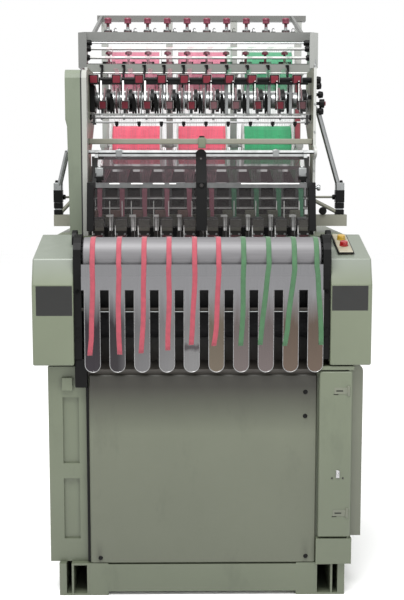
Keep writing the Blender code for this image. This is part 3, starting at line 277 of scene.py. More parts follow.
def wing_plate_and_top_light(paint):
    """The bare black plate let into the front of each wing, and a painted highlight that makes the
    wing's brow pale.
    """
    foot = paint.math("ADD", 0.9882, paint.times(paint.math("SIGN", paint.x), 0.0083))
    plate = paint.times(
        paint.above(paint.across(), 0.4335),
        paint.below(paint.across(), 0.5545),
        paint.below(paint.y, back(0.0015)),
        paint.above(paint.z, foot),
        paint.below(paint.z, 1.0800),
    )
    # The brow's painted highlight
    share = paint.either(plate, paint.between(paint.z, 1.085, 1.160))
    return share, paint.mix(plate, PAINTED_TOP_LIGHT, tone(26, 27, 24))


def bright_front(paint):
    """The upright's front edge, in a near-white tone."""
    return paint.below(paint.y, back(0.4206)), tone(236, 238, 232)


def guard_seam(paint):
    """The dark seam between the belt guard and its grey edge strip."""
    seam = paint.times(paint.above(paint.x, -0.4272), paint.below(paint.y, back(0.3600)))
    strip = paint.above(paint.x, -0.4222)
    return seam, paint.mix(strip, tone(20, 20, 20), tone(204, 206, 198))


def marked(name, colours, marks, rough, grain=(60, 4, (0.4, 1, 1)), bump=0.1, metallic=0.0):
    """Grained paint or metal. The marks are (mask, colour) pairs laid over it."""
    paint = Paint(name, metallic=metallic)
    wear = paint.noise(*grain)
    coat = paint.blend(wear, *colours)
    for mask, colour in marks(paint, wear):
        coat = paint.mix(mask, coat, colour)
    paint.colour(coat).rough(paint.noise(60, 3), *rough).bump(wear, bump)


def shaded_underside(centre):
    """Painted shade that darkens the underside of a rod at a height."""
    return lambda paint, wear: [(paint.below(paint.z, centre - 0.0026), tone(44, 44, 43))]


def shaded_rods(paint, wear):
    """Guide rods with painted shade along their undersides, and dark at their ends in the end
    blocks.
    """
    upper = paint.math("COMPARE", paint.z, 1.6528, 0.0022)
    lower = paint.below(paint.z, 1.6368)
    ends = paint.above(paint.across(), 0.392)
    return [(paint.either(upper, lower, ends), (0.012, 0.012, 0.012))]


def rail_highlights(paint, wear):
    """A painted highlight: one bright line along each lower rail of the heald frames."""
    back_line = paint.math("COMPARE", paint.z, 1.3570, 0.0023)
    front_line = paint.math("COMPARE", paint.z, 1.3212, 0.0020)
    return [(paint.either(back_line, front_line), (0.80, 0.80, 0.78))]


def black_knobs(paint, wear):
    """The knob blocks along a bright bar."""
    return [(paint.above(paint.z, 1.6722), tone(26, 26, 26))]


def smoked_bar(paint, wear):
    """The dark bar where the two panes meet, painted shade as dark lines below the rods, and dark
    sides.
    """
    band = paint.times(paint.above(paint.z, 1.3990), paint.below(paint.z, 1.4190))
    dark = paint.blend(wear, (0.090, 0.092, 0.092), (0.130, 0.133, 0.132))
    # Painted shade below the rods
    lines = paint.either(
        paint.math("COMPARE", paint.z, 1.5215, 0.0022),
        paint.math("COMPARE", paint.z, 1.5030, 0.0030),
    )
    sides = paint.times(paint.above(paint.across(), 0.3715), paint.below(paint.z, 1.5050))
    return [(band, dark), (paint.either(lines, sides), (0.010, 0.010, 0.010))]


def roller_grip(name):
    """Fine matt grip on a steel roller, with a painted reflection of the sheet that makes it paler
    low down.
    """
    paint = Paint(name, metallic=0.15)
    streak = paint.noise(7, 5, (0.6, 30, 30), 0.7)
    grey = paint.blend(streak, (0.100, 0.098, 0.102), (0.135, 0.132, 0.137), 0.25, 0.75)
    # Painted reflection of the sheet on the roller's lower side
    low = paint.between(paint.z, 1.166, 1.148)
    paint.colour(paint.mix(low, grey, (0.235, 0.232, 0.240)))
    paint.rough(streak, 0.42, 0.6).bump(paint.noise(900, 2), 0.12, 0.0003)


def steel(name, colour, rough, size, bump=0.05):
    """Ground steel with fine lines."""
    paint = Paint(name, metallic=1.0)
    lines = paint.noise(size, 6, rough=0.7)
    paint.colour(paint.blend(lines, shade(colour, 0.80), colour, 0.25, 0.75))
    paint.rough(paint.noise(size, 4), *rough).bump(lines, bump)


# Painted reflections on the tongues, as colours along the sheet from left to right
TONGUE_REFLECTIONS = (
    (0.0625, (0.034, 0.029, 0.035)),
    (0.161, (0.034, 0.031, 0.034)),
    (0.225, (0.150, 0.148, 0.152)),
    (0.458, (0.215, 0.213, 0.213)),
    (0.500, (0.215, 0.213, 0.213)),
    (0.520, (0.148, 0.122, 0.092)),
    (0.590, (0.148, 0.122, 0.092)),
    (0.620, (0.148, 0.124, 0.119)),
    (0.790, (0.150, 0.124, 0.121)),
    (0.820, (0.126, 0.092, 0.070)),
    (0.952, (0.130, 0.096, 0.074)),
)


def mirror_sheet(name):
    """Bright rolled sheet: a painted reflection on each tongue, deeper towards its tip, and roll
    lines.
    """
    paint = Paint(name, metallic=1.0)
    reflection = paint.ramp(paint.between(paint.x, -0.42, 0.42), TONGUE_REFLECTIONS)
    fall = paint.noise(5, 4, (14, 1, 1.0), 0.6)
    height = paint.math("ADD", paint.z, paint.times(fall, 0.10))
    fade = paint.mix(paint.between(height, 1.110, 1.000), (0.30, 0.30, 0.31), reflection)
    lines = paint.noise(6, 5, (60, 1, 1.2), 0.6)
    spot = paint.math("ADD", paint.z, paint.times(paint.noise(55, 4), 0.024))
    spot = paint.math("ABSOLUTE", paint.math("SUBTRACT", spot, 0.8835))
    tongue = paint.math("COMPARE", paint.x, -0.0355, 0.026)
    stain = paint.times(tongue, paint.between(spot, 0.0150, 0.0040), 0.7)
    fade = paint.mix(stain, fade, (0.030, 0.020, 0.026))
    paint.colour(paint.mix(paint.times(lines, 0.35), fade, (0.085, 0.082, 0.082)))
    paint.rough(paint.noise(6, 4, (40, 1, 1.2)), 0.10, 0.26)
    paint.bump(paint.noise(9, 3, (3, 1, 1)), 0.12, 0.0012)


def tensioned_bar(name, colour, top):
    """A rack bar in grey enamel whose tensioner posts, above its top, are dull red."""
    paint = Paint(name)
    base = paint.blend(paint.noise(6, 5), shade(colour, 0.92), shade(colour, 1.08))
    posts = paint.times(paint.above(paint.z, top), paint.below(paint.across(), 0.425))
    red = paint.blend(paint.noise(60, 3), tone(98, 38, 48), tone(122, 48, 60))
    paint.colour(paint.mix(posts, base, red))
    paint.rough(paint.noise(30, 4), 0.35, 0.55).bump(paint.noise(420, 2), 0.10, 0.0006)


def plastic(name, colour, rough=(0.35, 0.55), grain=300, shine=0.5):
    paint = Paint(name).set("Specular IOR Level", shine)
    paint.colour(paint.blend(paint.noise(40, 4), shade(colour, 0.82), shade(colour, 1.15)))
    paint.rough(paint.noise(60, 3), *rough).bump(paint.noise(grain, 2), 0.08)


def thread(name, colour):
    """Spun yarn: fine twist along the thread and a soft matt sheen."""
    paint = Paint(name, 0.8).set("Sheen Weight", 0.35)
    twist = paint.noise(900, 3, (1, 1, 0.25))
    paint.colour(paint.blend(twist, shade(colour, 0.72), shade(colour, 1.2))).bump(twist, 0.3)


def smoked_acrylic(name, alpha, colour):
    paint = Paint(name, 0.08).set("Alpha", alpha).set("Specular IOR Level", 0.35)
    paint.colour(paint.blend(paint.noise(5, 4), shade(colour, 0.8), shade(colour, 1.2)))
    paint.rough(paint.noise(30, 3), 0.05, 0.16)


def wound_beam(name, colour):
    """Yarn between two white flanges, picked out by the place along the beam."""
    paint = Paint(name, 0.75).set("Sheen Weight", 0.25)
    middle, half = BEAM_MIDDLES[1], BEAM_PITCH / 2
    across = paint.math("WRAP", paint.x, middle + half, middle - half)
    across = paint.math("ABSOLUTE", paint.math("SUBTRACT", across, middle))
    turns = paint.wave({"Scale": 95, "Distortion": 2.5, "Detail": 3, "Detail Scale": 2})
    bands = paint.noise(30, 5, (1, 0.05, 0.05), 0.7)
    stripe = paint.math("ADD", paint.times(turns, 0.35), bands)
    yarn = paint.blend(stripe, shade(colour, 0.72), shade(colour, 1.25), 0.35, 0.95)
    rim = paint.blend(paint.noise(50, 4), *WHITES)
    paint.colour(paint.mix(paint.above(across, 0.1079), yarn, rim)).bump(turns, 0.35, 0.0012)


def woven(name, colour):
    """A plain weave at the scale of a narrow ribbon."""
    paint = Paint(name, 0.7).set("Sheen Weight", 0.3)
    weave = paint.times(*[paint.wave({"Scale": 260}, direction) for direction in "XZ"])
    worn = paint.math("ADD", paint.times(weave, 0.5), paint.noise(60, 3))
    paint.colour(paint.blend(worn, shade(colour, 0.8), shade(colour, 1.2), high=0.85))
    paint.bump(weave, 0.35, 0.0005)


# What each kind of paint needs after its name, as its function lists it
LOOKS = {
    enamel: {
        "green_enamel_sprayed": (GREEN, 0.06),
        "wing_enamel": (GREEN, 0.06, wing_plate_and_top_light),
        "green_enamel_black_inside": (GREEN, 0.06, behind_sheet),
        "pale_enamel_sprayed": (tone(176, 176, 158),),
        "side_box_enamel": (tone(154, 159, 138),),
        "upright_enamel": (tone(166, 168, 148), 0.05, bright_front),
        # Lit and shaded copies of the rack paint: painted light makes the right plate's much paler
        # than the left's
        "rack_grey_enamel": (shade(RACK, 0.88), 0.06),
        "bright_rack_enamel": (shade(RACK, 1.75),),
        "second_bar_enamel": (tone(160, 163, 156), 0.06),
        "creel_grey_enamel": (tone(214, 217, 210),),
        "creel_bar_enamel": (tone(136, 136, 132),),
        "belt_guard_enamel": (tone(142, 153, 131), 0.05, guard_seam),
        "front_panel_enamel": (tone(140, 146, 124), 0.05, under_sheet, (0.5, 0.68)),
    },
    tensioned_bar: {
        "upper_tension_bar_enamel": (RACK, 2.0343),
        "lower_tension_bar_enamel": (tone(96, 98, 94), 1.9083),
    },
    marked: {
        "upper_rack_rod_enamel": (WHITES, shaded_underside(1.957), (0.2, 0.4), (40, 4, (0.3, 1, 1))),
        "lower_rack_rod_enamel": (WHITES, shaded_underside(1.916), (0.2, 0.4), (40, 4, (0.3, 1, 1))),
        "lower_feed_bar_metal": (((0.20, 0.21, 0.20), (0.34, 0.35, 0.34)), black_knobs, (0.2, 0.4)),
        "guide_rod_metal": (((0.26, 0.26, 0.26), (0.36, 0.36, 0.36)), shaded_rods, (0.35, 0.55)),
        "guard_frame_metal": (
            ((0.32, 0.33, 0.33), (0.46, 0.47, 0.47)),
            smoked_bar,
            (0.25, 0.4),
            (40, 5),
            0.08,
            0.6,
        ),
        "heald_frame_metal": (
            ((0.050, 0.046, 0.045), (0.075, 0.070, 0.068)),
            rail_highlights,
            (0.3, 0.5),
            (30, 4),
            0.08,
            0.3,
        ),
    },
    plastic: {
        "black_paint": (tone(18, 18, 18), (0.4, 0.6), 300, 0.15),
        "black_plastic": (tone(16, 16, 16), (0.35, 0.55), 300, 0.15),
        # Black paint for the chute bar, lightened to the tone of the painted shade around it
        "linted_black_paint": (tone(54, 51, 46), (0.55, 0.75), 300, 0.15),
        "stop_motion_black": (tone(40, 38, 38), (0.35, 0.55), 300, 0.3),
        "red_plastic": (tone(142, 34, 54), (0.3, 0.5), 120, 0.3),
        "faded_red_paint": (tone(184, 70, 84), (0.4, 0.6)),
        "knob_plate_enamel": (tone(196, 190, 188), (0.3, 0.45)),
        "crimson_plastic": (tone(158, 66, 90), (0.3, 0.5)),
        "maroon_plastic": (tone(112, 44, 54), (0.3, 0.5)),
        "dull_knob_plastic": (tone(150, 104, 110), (0.4, 0.6), 120, 0.3),
        "textured_grey_pink_rubber": (tone(150, 118, 122), (0.6, 0.85), 260),
        "cream_paint": (tone(206, 198, 170), (0.35, 0.5)),
        "rubber_sleeve": (tone(48, 47, 50), (0.6, 0.85), 700, 0.25),
        "white_guide_enamel": ((0.88, 0.88, 0.86), (0.2, 0.35)),
        "reed_case_brown": (tone(176, 134, 126),),
        "reed_case_green": (tone(150, 152, 130),),
        "head_plate_metal": (tone(140, 137, 126),),
        "yellow_plastic": (tone(236, 190, 70), (0.2, 0.35)),
        "scarlet_plastic": (tone(205, 40, 40), (0.2, 0.35)),
    },
    steel: {
        "bright_steel": ((0.36, 0.36, 0.36), (0.20, 0.36), 60),
        "machined_metal": ((0.29, 0.30, 0.30), (0.3, 0.5), 40, 0.08),
        "dark_head_metal": ((0.055, 0.052, 0.050), (0.3, 0.55), 50, 0.12),
    },
    roller_grip: {"roller_steel": ()},
    mirror_sheet: {"mirror_sheet_steel": ()},
    thread: {"pink_thread": (UPPER_PINK,), "green_thread": (UPPER_GREEN,)},
    woven: {"pink_ribbon_weave": (RIBBON_PINK,), "green_ribbon_weave": (RIBBON_GREEN,)},
    smoked_acrylic: {
        "smoked_acrylic_upper": (0.44, (0.026, 0.018, 0.020)),
        "smoked_acrylic_lower": (0.29, (0.020, 0.018, 0.018)),
    },
    wound_beam: {
        "upper_pink_wound_beam": (UPPER_PINK,),
        "lower_pink_wound_beam": (LOWER_PINK,),
        "upper_green_wound_beam": (UPPER_GREEN,),
        "lower_green_wound_beam": (LOWER_GREEN,),
    },
}

# The CAD nodes that wear each paint
DRESS = {
    "green_enamel_sprayed": "front_base_rail rear_base_rail left_base_channel right_base_channel "
    "left_side_casting right_side_casting electric_cabinet cabinet_door",
    "wing_enamel": "left_wing_cover right_wing_cover",
    "green_enamel_black_inside": "machine_bed upper_housing",
    "belt_guard_enamel": "belt_cover",
    "front_panel_enamel": "front_panel",
    "upright_enamel": "left_upright right_upright",
    "pale_enamel_sprayed": "upper_cross_bar rear_cross_beam",
    "side_box_enamel": "cabinet_side_box",
    "rack_grey_enamel": "left_rack_plate",
    "bright_rack_enamel": "right_rack_plate",
    "second_bar_enamel": "second_rack_bar",
    "upper_tension_bar_enamel": "top_tension_bar",
    "lower_tension_bar_enamel": "lower_tension_bar",
    "creel_grey_enamel": "creel_base creel_post_1 creel_post_2 creel_post_3 creel_post_4",
    "creel_bar_enamel": "creel_top_bar",
    "dark_head_metal": "needle_heads",
    "stop_motion_black": "warp_stop_rail",
    "machined_metal": "reed_batten left_rocker_rod right_rocker_rod weft_feed_shaft",
    "guard_frame_metal": "cover_frame",
    "black_paint": "left_take_off_bracket right_take_off_bracket cover_centre_strip upper_feed_bar",
    "linted_black_paint": "chute_bar",
    "roller_steel": "take_off_roller",
    "mirror_sheet_steel": "ribbon_chute",
    "guide_rod_metal": "guide_rods",
    "heald_frame_metal": "front_heald_frame back_heald_frame",
    "lower_feed_bar_metal": "lower_feed_bar",
    "upper_rack_rod_enamel": "upper_rack_rod",
    "lower_rack_rod_enamel": "lower_rack_rod",
    "rubber_sleeve": "draw_roller",
    "smoked_acrylic_upper": "cover_upper_pane",
    "smoked_acrylic_lower": "cover_lower_pane",
    "upper_pink_wound_beam": "upper_left_warp_beam upper_middle_warp_beam",
    "lower_pink_wound_beam": "lower_left_warp_beam lower_middle_warp_beam",
    "upper_green_wound_beam": "upper_right_warp_beam",
    "lower_green_wound_beam": "lower_right_warp_beam",
    "cream_paint": "control_panel",
}


def dress_nodes():
    for kind, looks in LOOKS.items():
        for name, look in looks.items():
            kind(name, *look)
    for paint, names in DRESS.items():
        for name in names.split():
            for slot in NODES[name].material_slots:
                slot.material = PAINTS[paint]


dress_nodes()

# Mesh code

TURNS = {
    "X": Matrix.Rotation(math.pi / 2, 4, "Y"),
    "Y": Matrix.Rotation(-math.pi / 2, 4, "X"),
    "Z": Matrix.Identity(4),
}


class Shape:
    """Gathers solid forms into one mesh, which becomes one piece."""

    def __init__(self):
        self.form = bmesh.new()

    def ring(self, spots):
        return [self.form.verts.new(spot) for spot in spots]

    def bridge(self, low, high):
        """Faces between two closed rings, either of which may be a single point."""
        steps = max(len(low), len(high))
        for step in range(steps):
            after = (step + 1) % steps
            corners = [low[step % len(low)], low[after % len(low)]]
            corners += [high[after % len(high)], high[step % len(high)]]
            unique = list(dict.fromkeys(corners))
            if len(unique) > 2:
                self.form.faces.new(unique)

    def block(self, x, *sides):
        """A block by its two sides in x, depth and z, in millimetres. The first are from x."""
        pairs = mm(*sides)
        across, depth, z = [sum(pair) / 2 for pair in pairs]
        size = [high - low for low, high in pairs]
        matrix = Matrix.Translation(at(x + across, depth, z)) @ Matrix.Diagonal((*size, 1))
        bmesh.ops.create_cube(self.form, size=1.0, matrix=matrix)
        return self

    def turned(self, profile, centre, axis="X", steps=16, tilt=Matrix.Identity(4)):
        """A turned form from (radius, place) pairs along an axis through the centre."""
        matrix = Matrix.Translation(centre) @ tilt @ TURNS[axis]
        rings = []
        for radius, place in profile:
            turns = [2 * math.pi * step / steps for step in range(steps if radius else 1)]
            spots = [Vector((radius * math.cos(t), radius * math.sin(t), place)) for t in turns]
            rings.append(self.ring(matrix @ spot for spot in spots))
        for low, high in zip(rings, rings[1:]):
            self.bridge(low, high)
        return self

    def wire(self, points, radius, sides=6):
        """A round wire through points, with flat ends."""
        rings = []
        for number, point in enumerate(points):
            along = heading(points, number)
            normal = normal if number else along.orthogonal().normalized()
            normal = (normal - along * normal.dot(along)).normalized()
            side = along.cross(normal)
            turns = [2 * math.pi * step / sides for step in range(sides)]
            offsets = [normal * math.cos(turn) + side * math.sin(turn) for turn in turns]
            rings.append(self.ring(point + offset * radius for offset in offsets))
        self.form.faces.new(rings[0])
        self.form.faces.new(rings[-1])
        for low, high in zip(rings, rings[1:]):
            self.bridge(low, high)
        return self

    def slab(self, *outlines):
        """Two copies of a flat outline, joined round the edge."""
        rings = [self.ring(outline) for outline in outlines]
        for ring in rings:
            self.form.faces.new(ring)
        self.bridge(*rings)
        return self

    def plate(self, points, depth, thick):
        """A flat outline in (x, z), made thick backwards from a depth."""
        return self.slab(*[[at(x, y, z) for x, z in points] for y in (depth, depth + thick)])

    def side_plate(self, points, x, thick):
        """A flat outline in (depth, z), made thick to the right from an x."""
        return self.slab(*[[at(u, depth, z) for depth, z in points] for u in (x, x + thick)])

    def piece(self, name, paint="black_plastic", body=FRAME, bevel=0.0, segments=2, sharp=40):
        """The piece, smooth but for edges whose faces meet at more than the sharp angle."""
        bmesh.ops.recalc_face_normals(self.form, faces=self.form.faces)
        self.form.normal_update()
        for face in self.form.faces:
            face.smooth = True
        for edge in self.form.edges:
            if len(edge.link_faces) == 2 and edge.calc_face_angle(0) > math.radians(sharp):
                edge.smooth = False
        mesh = bpy.data.meshes.new(name)
        self.form.to_mesh(mesh)
        self.form.free()
        mesh.materials.append(PAINTS[paint])
        obj = link(name, mesh)
        if bevel:
            modifier = obj.modifiers.new("rounded_edges", "BEVEL")
            modifier.width = bevel
            modifier.segments = segments
            modifier.limit_method = "ANGLE"
            modifier.angle_limit = math.radians(40)
        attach(obj, body)
        return obj


def shapes(count):
    return [Shape() for _ in range(count)]


def block_piece(name, paint, bevel, *boxes, places=(0,), body=FRAME):
    """A piece of blocks alone, which are repeated at each place along the machine."""
    shape = Shape()
    for x in places:
        for box in boxes:
            shape.block(x, *box)
    shape.piece(name, paint, body, bevel)


def heading(points, number):
    """The direction of a run of points where it passes one of them."""
    after = points[min(number + 1, len(points) - 1)]
    return (after - points[max(number - 1, 0)]).normalized()


def run(x, *points):
    """Points whose first number is measured from x."""
    return [at(x + offset, depth, z) for offset, depth, z in points]


def mm(*numbers):
    """Pairs in metres, such as (radius, place), from numbers in millimetres."""
    numbers = [number / 1000 for number in numbers]
    return list(zip(numbers[::2], numbers[1::2]))


def closed(profile):
    return profile + profile[:1]


def faced(profile, side):
    """A profile, turned to point the other way on the left side."""
    return profile if side > 0 else [(radius, -place) for radius, place in profile][::-1]


def arc(centre, radius, start, end, steps):
    turns = [math.radians(start + (end - start) * step / steps) for step in range(steps + 1)]
    return [(centre[0] + radius * math.cos(t), centre[1] + radius * math.sin(t)) for t in turns]


def domed(radius, height):
    """The profile of a button or a screw head, from its base up."""
    return [(0, 0), (radius, 0), (radius, height * 0.6), (radius * 0.72, height), (0, height)]


def screw_piece(name, paint, profile, steps, *places, body=FRAME):
    """A piece of screw heads that face forwards, from a profile in millimetres."""
    shape = Shape()
    for place in places:
        shape.turned(mm(*profile), at(*place), "Y", steps)
    shape.piece(name, paint, body)


# Top rack and creel


def tensioners():
    """Red mushroom caps on the upper row, slim red stems on the lower one, discs and hooks."""
    caps, necks, discs, stems, dark = shapes(5)
    cap = mm(0, -1, 14.6, 0, 14.8, 14, 16, 15.5, 15.8, 18.5, 13, 21.5, 7, 23.5, 0, 24)
    neck = mm(0, 21, 6.4, 21, 6.4, 32, 8.8, 37, 0, 37.5)
    disc = mm(0, 3.8, 17.6, 3.8, 18, 6, 15, 7, 15, 8.2, 17.2, 9, 16.4, 10.4, 7, 11.6, 0, 11.6)
    slim = mm(0, 38.2, 14.2, 38.6, 15, 42, 14, 48, 8, 52.4, 0, 52.8)
    for x in row(CAP_ROW):
        depth, top = 1.080, 2.034
        caps.turned(cap, at(x, depth, top + 0.0368), "Z", 22)
        necks.turned(neck, at(x, depth, top), "Z", 14)
        stems.turned(mm(0, 8, 6.6, 8, 6.6, 21.5, 0, 21.5), at(x, depth, top), "Z", 14)
        discs.turned(disc, at(x, depth, top), "Z", 22)
        dark.block(x, 20.5, 40, 1073, 1087, 2033.8, 2037.6)
        hook = [at(x + u, depth, top + v) for u, v in mm(26, 2, 26, 13, 30, 18, 36, 14)]
        dark.wire(hook, 0.0016)
        depth, top = 1.120, 1.908
        dark.block(x, -26, 26, 1105.4, 1134.6, 1902, 1916.2)
        caps.turned(slim, at(x, depth, top), "Z", 22)
        necks.turned(mm(0, 8, 5.5, 8, 5.5, 38.4, 0, 38.4), at(x, depth, top), "Z", 12)
    caps.piece("tensioner_caps", "crimson_plastic")
    necks.piece("tensioner_necks", "maroon_plastic")
    discs.piece("tensioner_discs", "machined_metal")
    stems.piece("tensioner_stems", "machined_metal")
    dark.piece("tensioner_base_plates", bevel=0.0006)


TUBES = tuple(-0.3652 + 0.0806 * place for place in range(HEADS))
WIDE_TUBES = 3
HOOKS = (-0.3924, -0.3042, -0.2215, -0.1428, -0.0649, 0.0279, 0.1095, 0.1919, 0.2748, 0.3532)
HOOK_THICK_PART = ((0, 0.8480, 1.856), (-0.001, 0.8410, 1.845), (-0.001, 0.8380, 1.830))
HOOK_THIN_PART = (
    (-0.001, 0.8380, 1.833),
    (-0.002, 0.820, 1.822),
    (-0.004, 0.786, 1.814),
    (-0.004, 0.772, 1.806),
)


def rack_fittings():
    ends, hooks, tubes, sleeves, bolts = shapes(5)
    end = mm(0, 0, 12.5, 0, 12.5, 22, 9, 28, 0, 28)
    for depth, z in ((0.990, 1.957), (0.940, 1.916), (1.030, 1.985)):
        ends.turned(end, at(-0.4748, depth, z))
        ends.turned(faced(end, -1), at(0.4638, depth, z))
    ends.piece("rack_rod_ends")
    rod = Shape().wire([at(x, 1.030, 1.985) for x in (-0.4747, 0.4637)], 0.0035, 8)
    rod.piece("thin_rack_rod", "machined_metal")
    lip = (-452.2, 441.2, 849, 851.6, 1846.6, 1849.6)
    block_piece("second_bar_lip", "white_guide_enamel", 0.0004, lip)
    rubber = (-452.2, 441.2, 849.8, 853, 1843.6, 1846.1)
    block_piece("second_bar_rubber", "black_plastic", 0.0004, rubber)
    sleeve = mm(0, 0, 3, 0, 3.6, 2, 3.6, 70, 4.6, 72, 4.6, 76, 0, 77)
    for x in HOOKS:
        hooks.block(x, -2.5, 6, 844, 851.4, 1853, 1879)
        hooks.block(x, -8.5, 6, 844, 851.4, 1873.5, 1879)
        hooks.wire(run(x, *HOOK_THICK_PART), 0.0050, 8)
        hooks.wire(run(x, *HOOK_THIN_PART), 0.0036, 8)
        sleeves.turned(sleeve, at(x - 0.004, 0.770, 1.7355), "Z", 12)
    for number, x in enumerate(TUBES):
        bore = 3.4 if number < WIDE_TUBES else 1.3
        tubes.turned(mm(0, 0, bore, 1, bore, 72, 0, 73), at(x, 0.4530, 1.7140), "Z", 12)
        hooks.block(x, -6.5, 3.6, 451.5, 470, 1776, 1783.5)
        hooks.block(x, -6.5, -4.2, 452, 460, 1715, 1780)
    tubes.piece("thread_guide_tubes", "white_guide_enamel")
    hooks.piece("thread_hooks", bevel=0.0006)
    sleeves.piece("thread_tube_sleeves")
    for x, side in ((-0.4860, -1), (0.4750, 1)):
        for depth, z in ((0.90, 1.92), (1.10, 1.90), (1.02, 2.00)):
            bolts.turned(faced(domed(0.0065, 0.004), side), at(x, depth, z), steps=12)
    bolts.piece("rack_plate_bolts", "machined_metal")


def creel_fittings():
    strips = [(456, 480, 1573.5, 1579.7, *z) for z in ((1600, 1872), (1360, 1548))]
    block_piece("creel_red_strip", "faded_red_paint", 0.002, *strips)
    washers = Shape()
    for z in (LOWER_BEAMS, UPPER_BEAMS):
        for x in (-0.4350, -0.1340, 0.1670, 0.4680):
            for side in (1, -1):
                washer = faced(mm(0, 0, 13, 0, 13, 4, 0, 6), side)
                washers.turned(washer, at(x + 0.015 * side, 1.500, z), steps=14)
    washers.piece("beam_axle_washers", "machined_metal")


# Weft feeder

# The middle of a row and its dull knobs. In millimetres: depth and z of its knobs, then the
# depth of their angle plates, and their z
KNOB_ROWS = (
    (UPPER_KNOB_ROW, (), (458.4, 492.1, 1775.2, 1808.8), (457.8, 466), 1780, 1810),
    (LOWER_KNOB_ROW, (3, 5, 6, 9), (522.5, 549.5, 1685.2, 1718.8), (521.8, 529), 1690, 1720),
)


def red_knobs():
    knobs, dull, plates = shapes(3)
    for centre, dulled, knob, edge, low, top in KNOB_ROWS:
        for number, x in enumerate(row(centre)):
            kind = dull if number in dulled else knobs
            kind.block(x, -16.8, 16.8, *knob)
            plates.block(x, -17, 17.6, *edge, top - 1.4, top)
            plates.block(x, 16.6, 18, *edge, low, top)
    knobs.piece("red_knobs", "red_plastic", bevel=0.005, segments=3)
    dull.piece("dull_knobs", "dull_knob_plastic", bevel=0.005, segments=3)
    plates.piece("knob_angle_plates", "knob_plate_enamel", bevel=0.0005)
    strip = (-396, 396, 472, 478, 1774, 1785)
    block_piece("feed_bar_strip", "black_plastic", 0.0006, strip)


SIDE_LOOP = mm(500, 1803, 530, 1800, 560, 1770, 566, 1720, 556, 1680, 520, 1655)
FRONT_WIRE = (
    (0.004, 0.470, 1.776),
    (0.006, 0.500, 1.750),
    (0.013, 0.520, 1.722),
    (0.018, 0.508, 1.662),
)
BRAKE_ARM = mm(
    28.5, 1745, 36.5, 1745, 40.5, 1725, 42.5, 1690, 43.5, 1668, 38.5, 1668,
    36.5, 1684, 34.5, 1668, 29, 1668, 27.5, 1690, 27.5, 1725,
)
ARMS_END = 0.36  # no brake arm stands beyond this x


def feed_guides():
    """Bright wire guides, black arms and textured drums round each pair of wheels."""
    wires, arms, rims, drums, spools, plates, stubs = shapes(7)
    rim = closed(mm(45, -3.2, 48, -3, 49.2, 0, 48, 3, 45, 3.2))
    drum = closed(mm(39, -6.6, 42.8, -6.4, 43.2, 0, 42.8, 6.4, 39, 6.6))
    spool = closed(mm(22.8, -10, 30, -10, 31, -8.5, 31, 20.5, 30, 22, 22.8, 22))
    for x, knob, low in zip(row(WHEEL_ROW), row(UPPER_KNOB_ROW), row(LOWER_KNOB_ROW)):
        for side in (-0.0300, 0.0405):
            wires.wire([at(x + side, *spot) for spot in SIDE_LOOP], 0.0015)
        wires.wire(run(knob, *FRONT_WIRE), 0.0013)
        if low < ARMS_END:
            arms.plate([(low + offset, z) for offset, z in BRAKE_ARM], 0.545, 0.012)
        for offset in (-0.025, 0.013):
            rims.turned(rim, at(x + offset, *SHAFT_AXIS), steps=40)
        drums.turned(drum, at(x + 0.027, *SHAFT_AXIS), steps=40)
        for offset in (-0.0110, 0.0440):
            spools.turned(spool, at(x + offset, *SHAFT_AXIS), steps=32)
    for number in range(9):
        x = -0.3010 + 0.0797 * number
        half = 5.5 if number > 4 else 2.2
        plates.block(x, -half, half, 527, 530, 1670.5, 1786.2)
        plates.block(x, -half, half, 478, 530, 1783, 1786.2)
    plates.piece("feed_bracket_plates", "machined_metal", bevel=0.0006)
    wires.piece("weft_wire_guides", "bright_steel")
    arms.piece("weft_brake_arms", bevel=0.001)
    rims.piece("feed_wheel_rims", "textured_grey_pink_rubber", "feed_shaft")
    drums.piece("feed_wheel_drums", "black_plastic", "feed_shaft")
    spools.piece("feed_shaft_spools", "machined_metal", "feed_shaft")
    for x in row(-0.0632 + PITCH, 9):
        stubs.block(x, -6.5, 6.5, 499, 511, 1627.5, 1641)
        stubs.turned(mm(0, -6, 4.5, -5, 4.5, 0, 0, 0), at(x, 0.505, 1.6276), "Z", 10)
    stubs.piece("guide_rod_stubs", bevel=0.001)
    bearing = (
        (-410.6, -392.5, 492.5, 530, 1675, 1774),
        (-410.6, -396, 493.5, 518, 1774, 1803),
    )
    block_piece("left_bearing_block", "black_plastic", 0.002, *bearing)
    bracket = (398.5, 410.6, 486, 518, 1721.5, 1737)
    block_piece("right_inner_bracket", "black_plastic", 0.0015, bracket)


# z, depth and reach of the small knobs outside the right upright
SIDE_KNOBS = (
    (1.7935, 0.500, 0.016),
    (1.7715, 0.500, 0.018),
    (1.7400, 0.510, 0.026),
    (1.6780, 0.500, 0.027),
)
BIG_KNOB = (0.4212, 0.500, 1.7070)


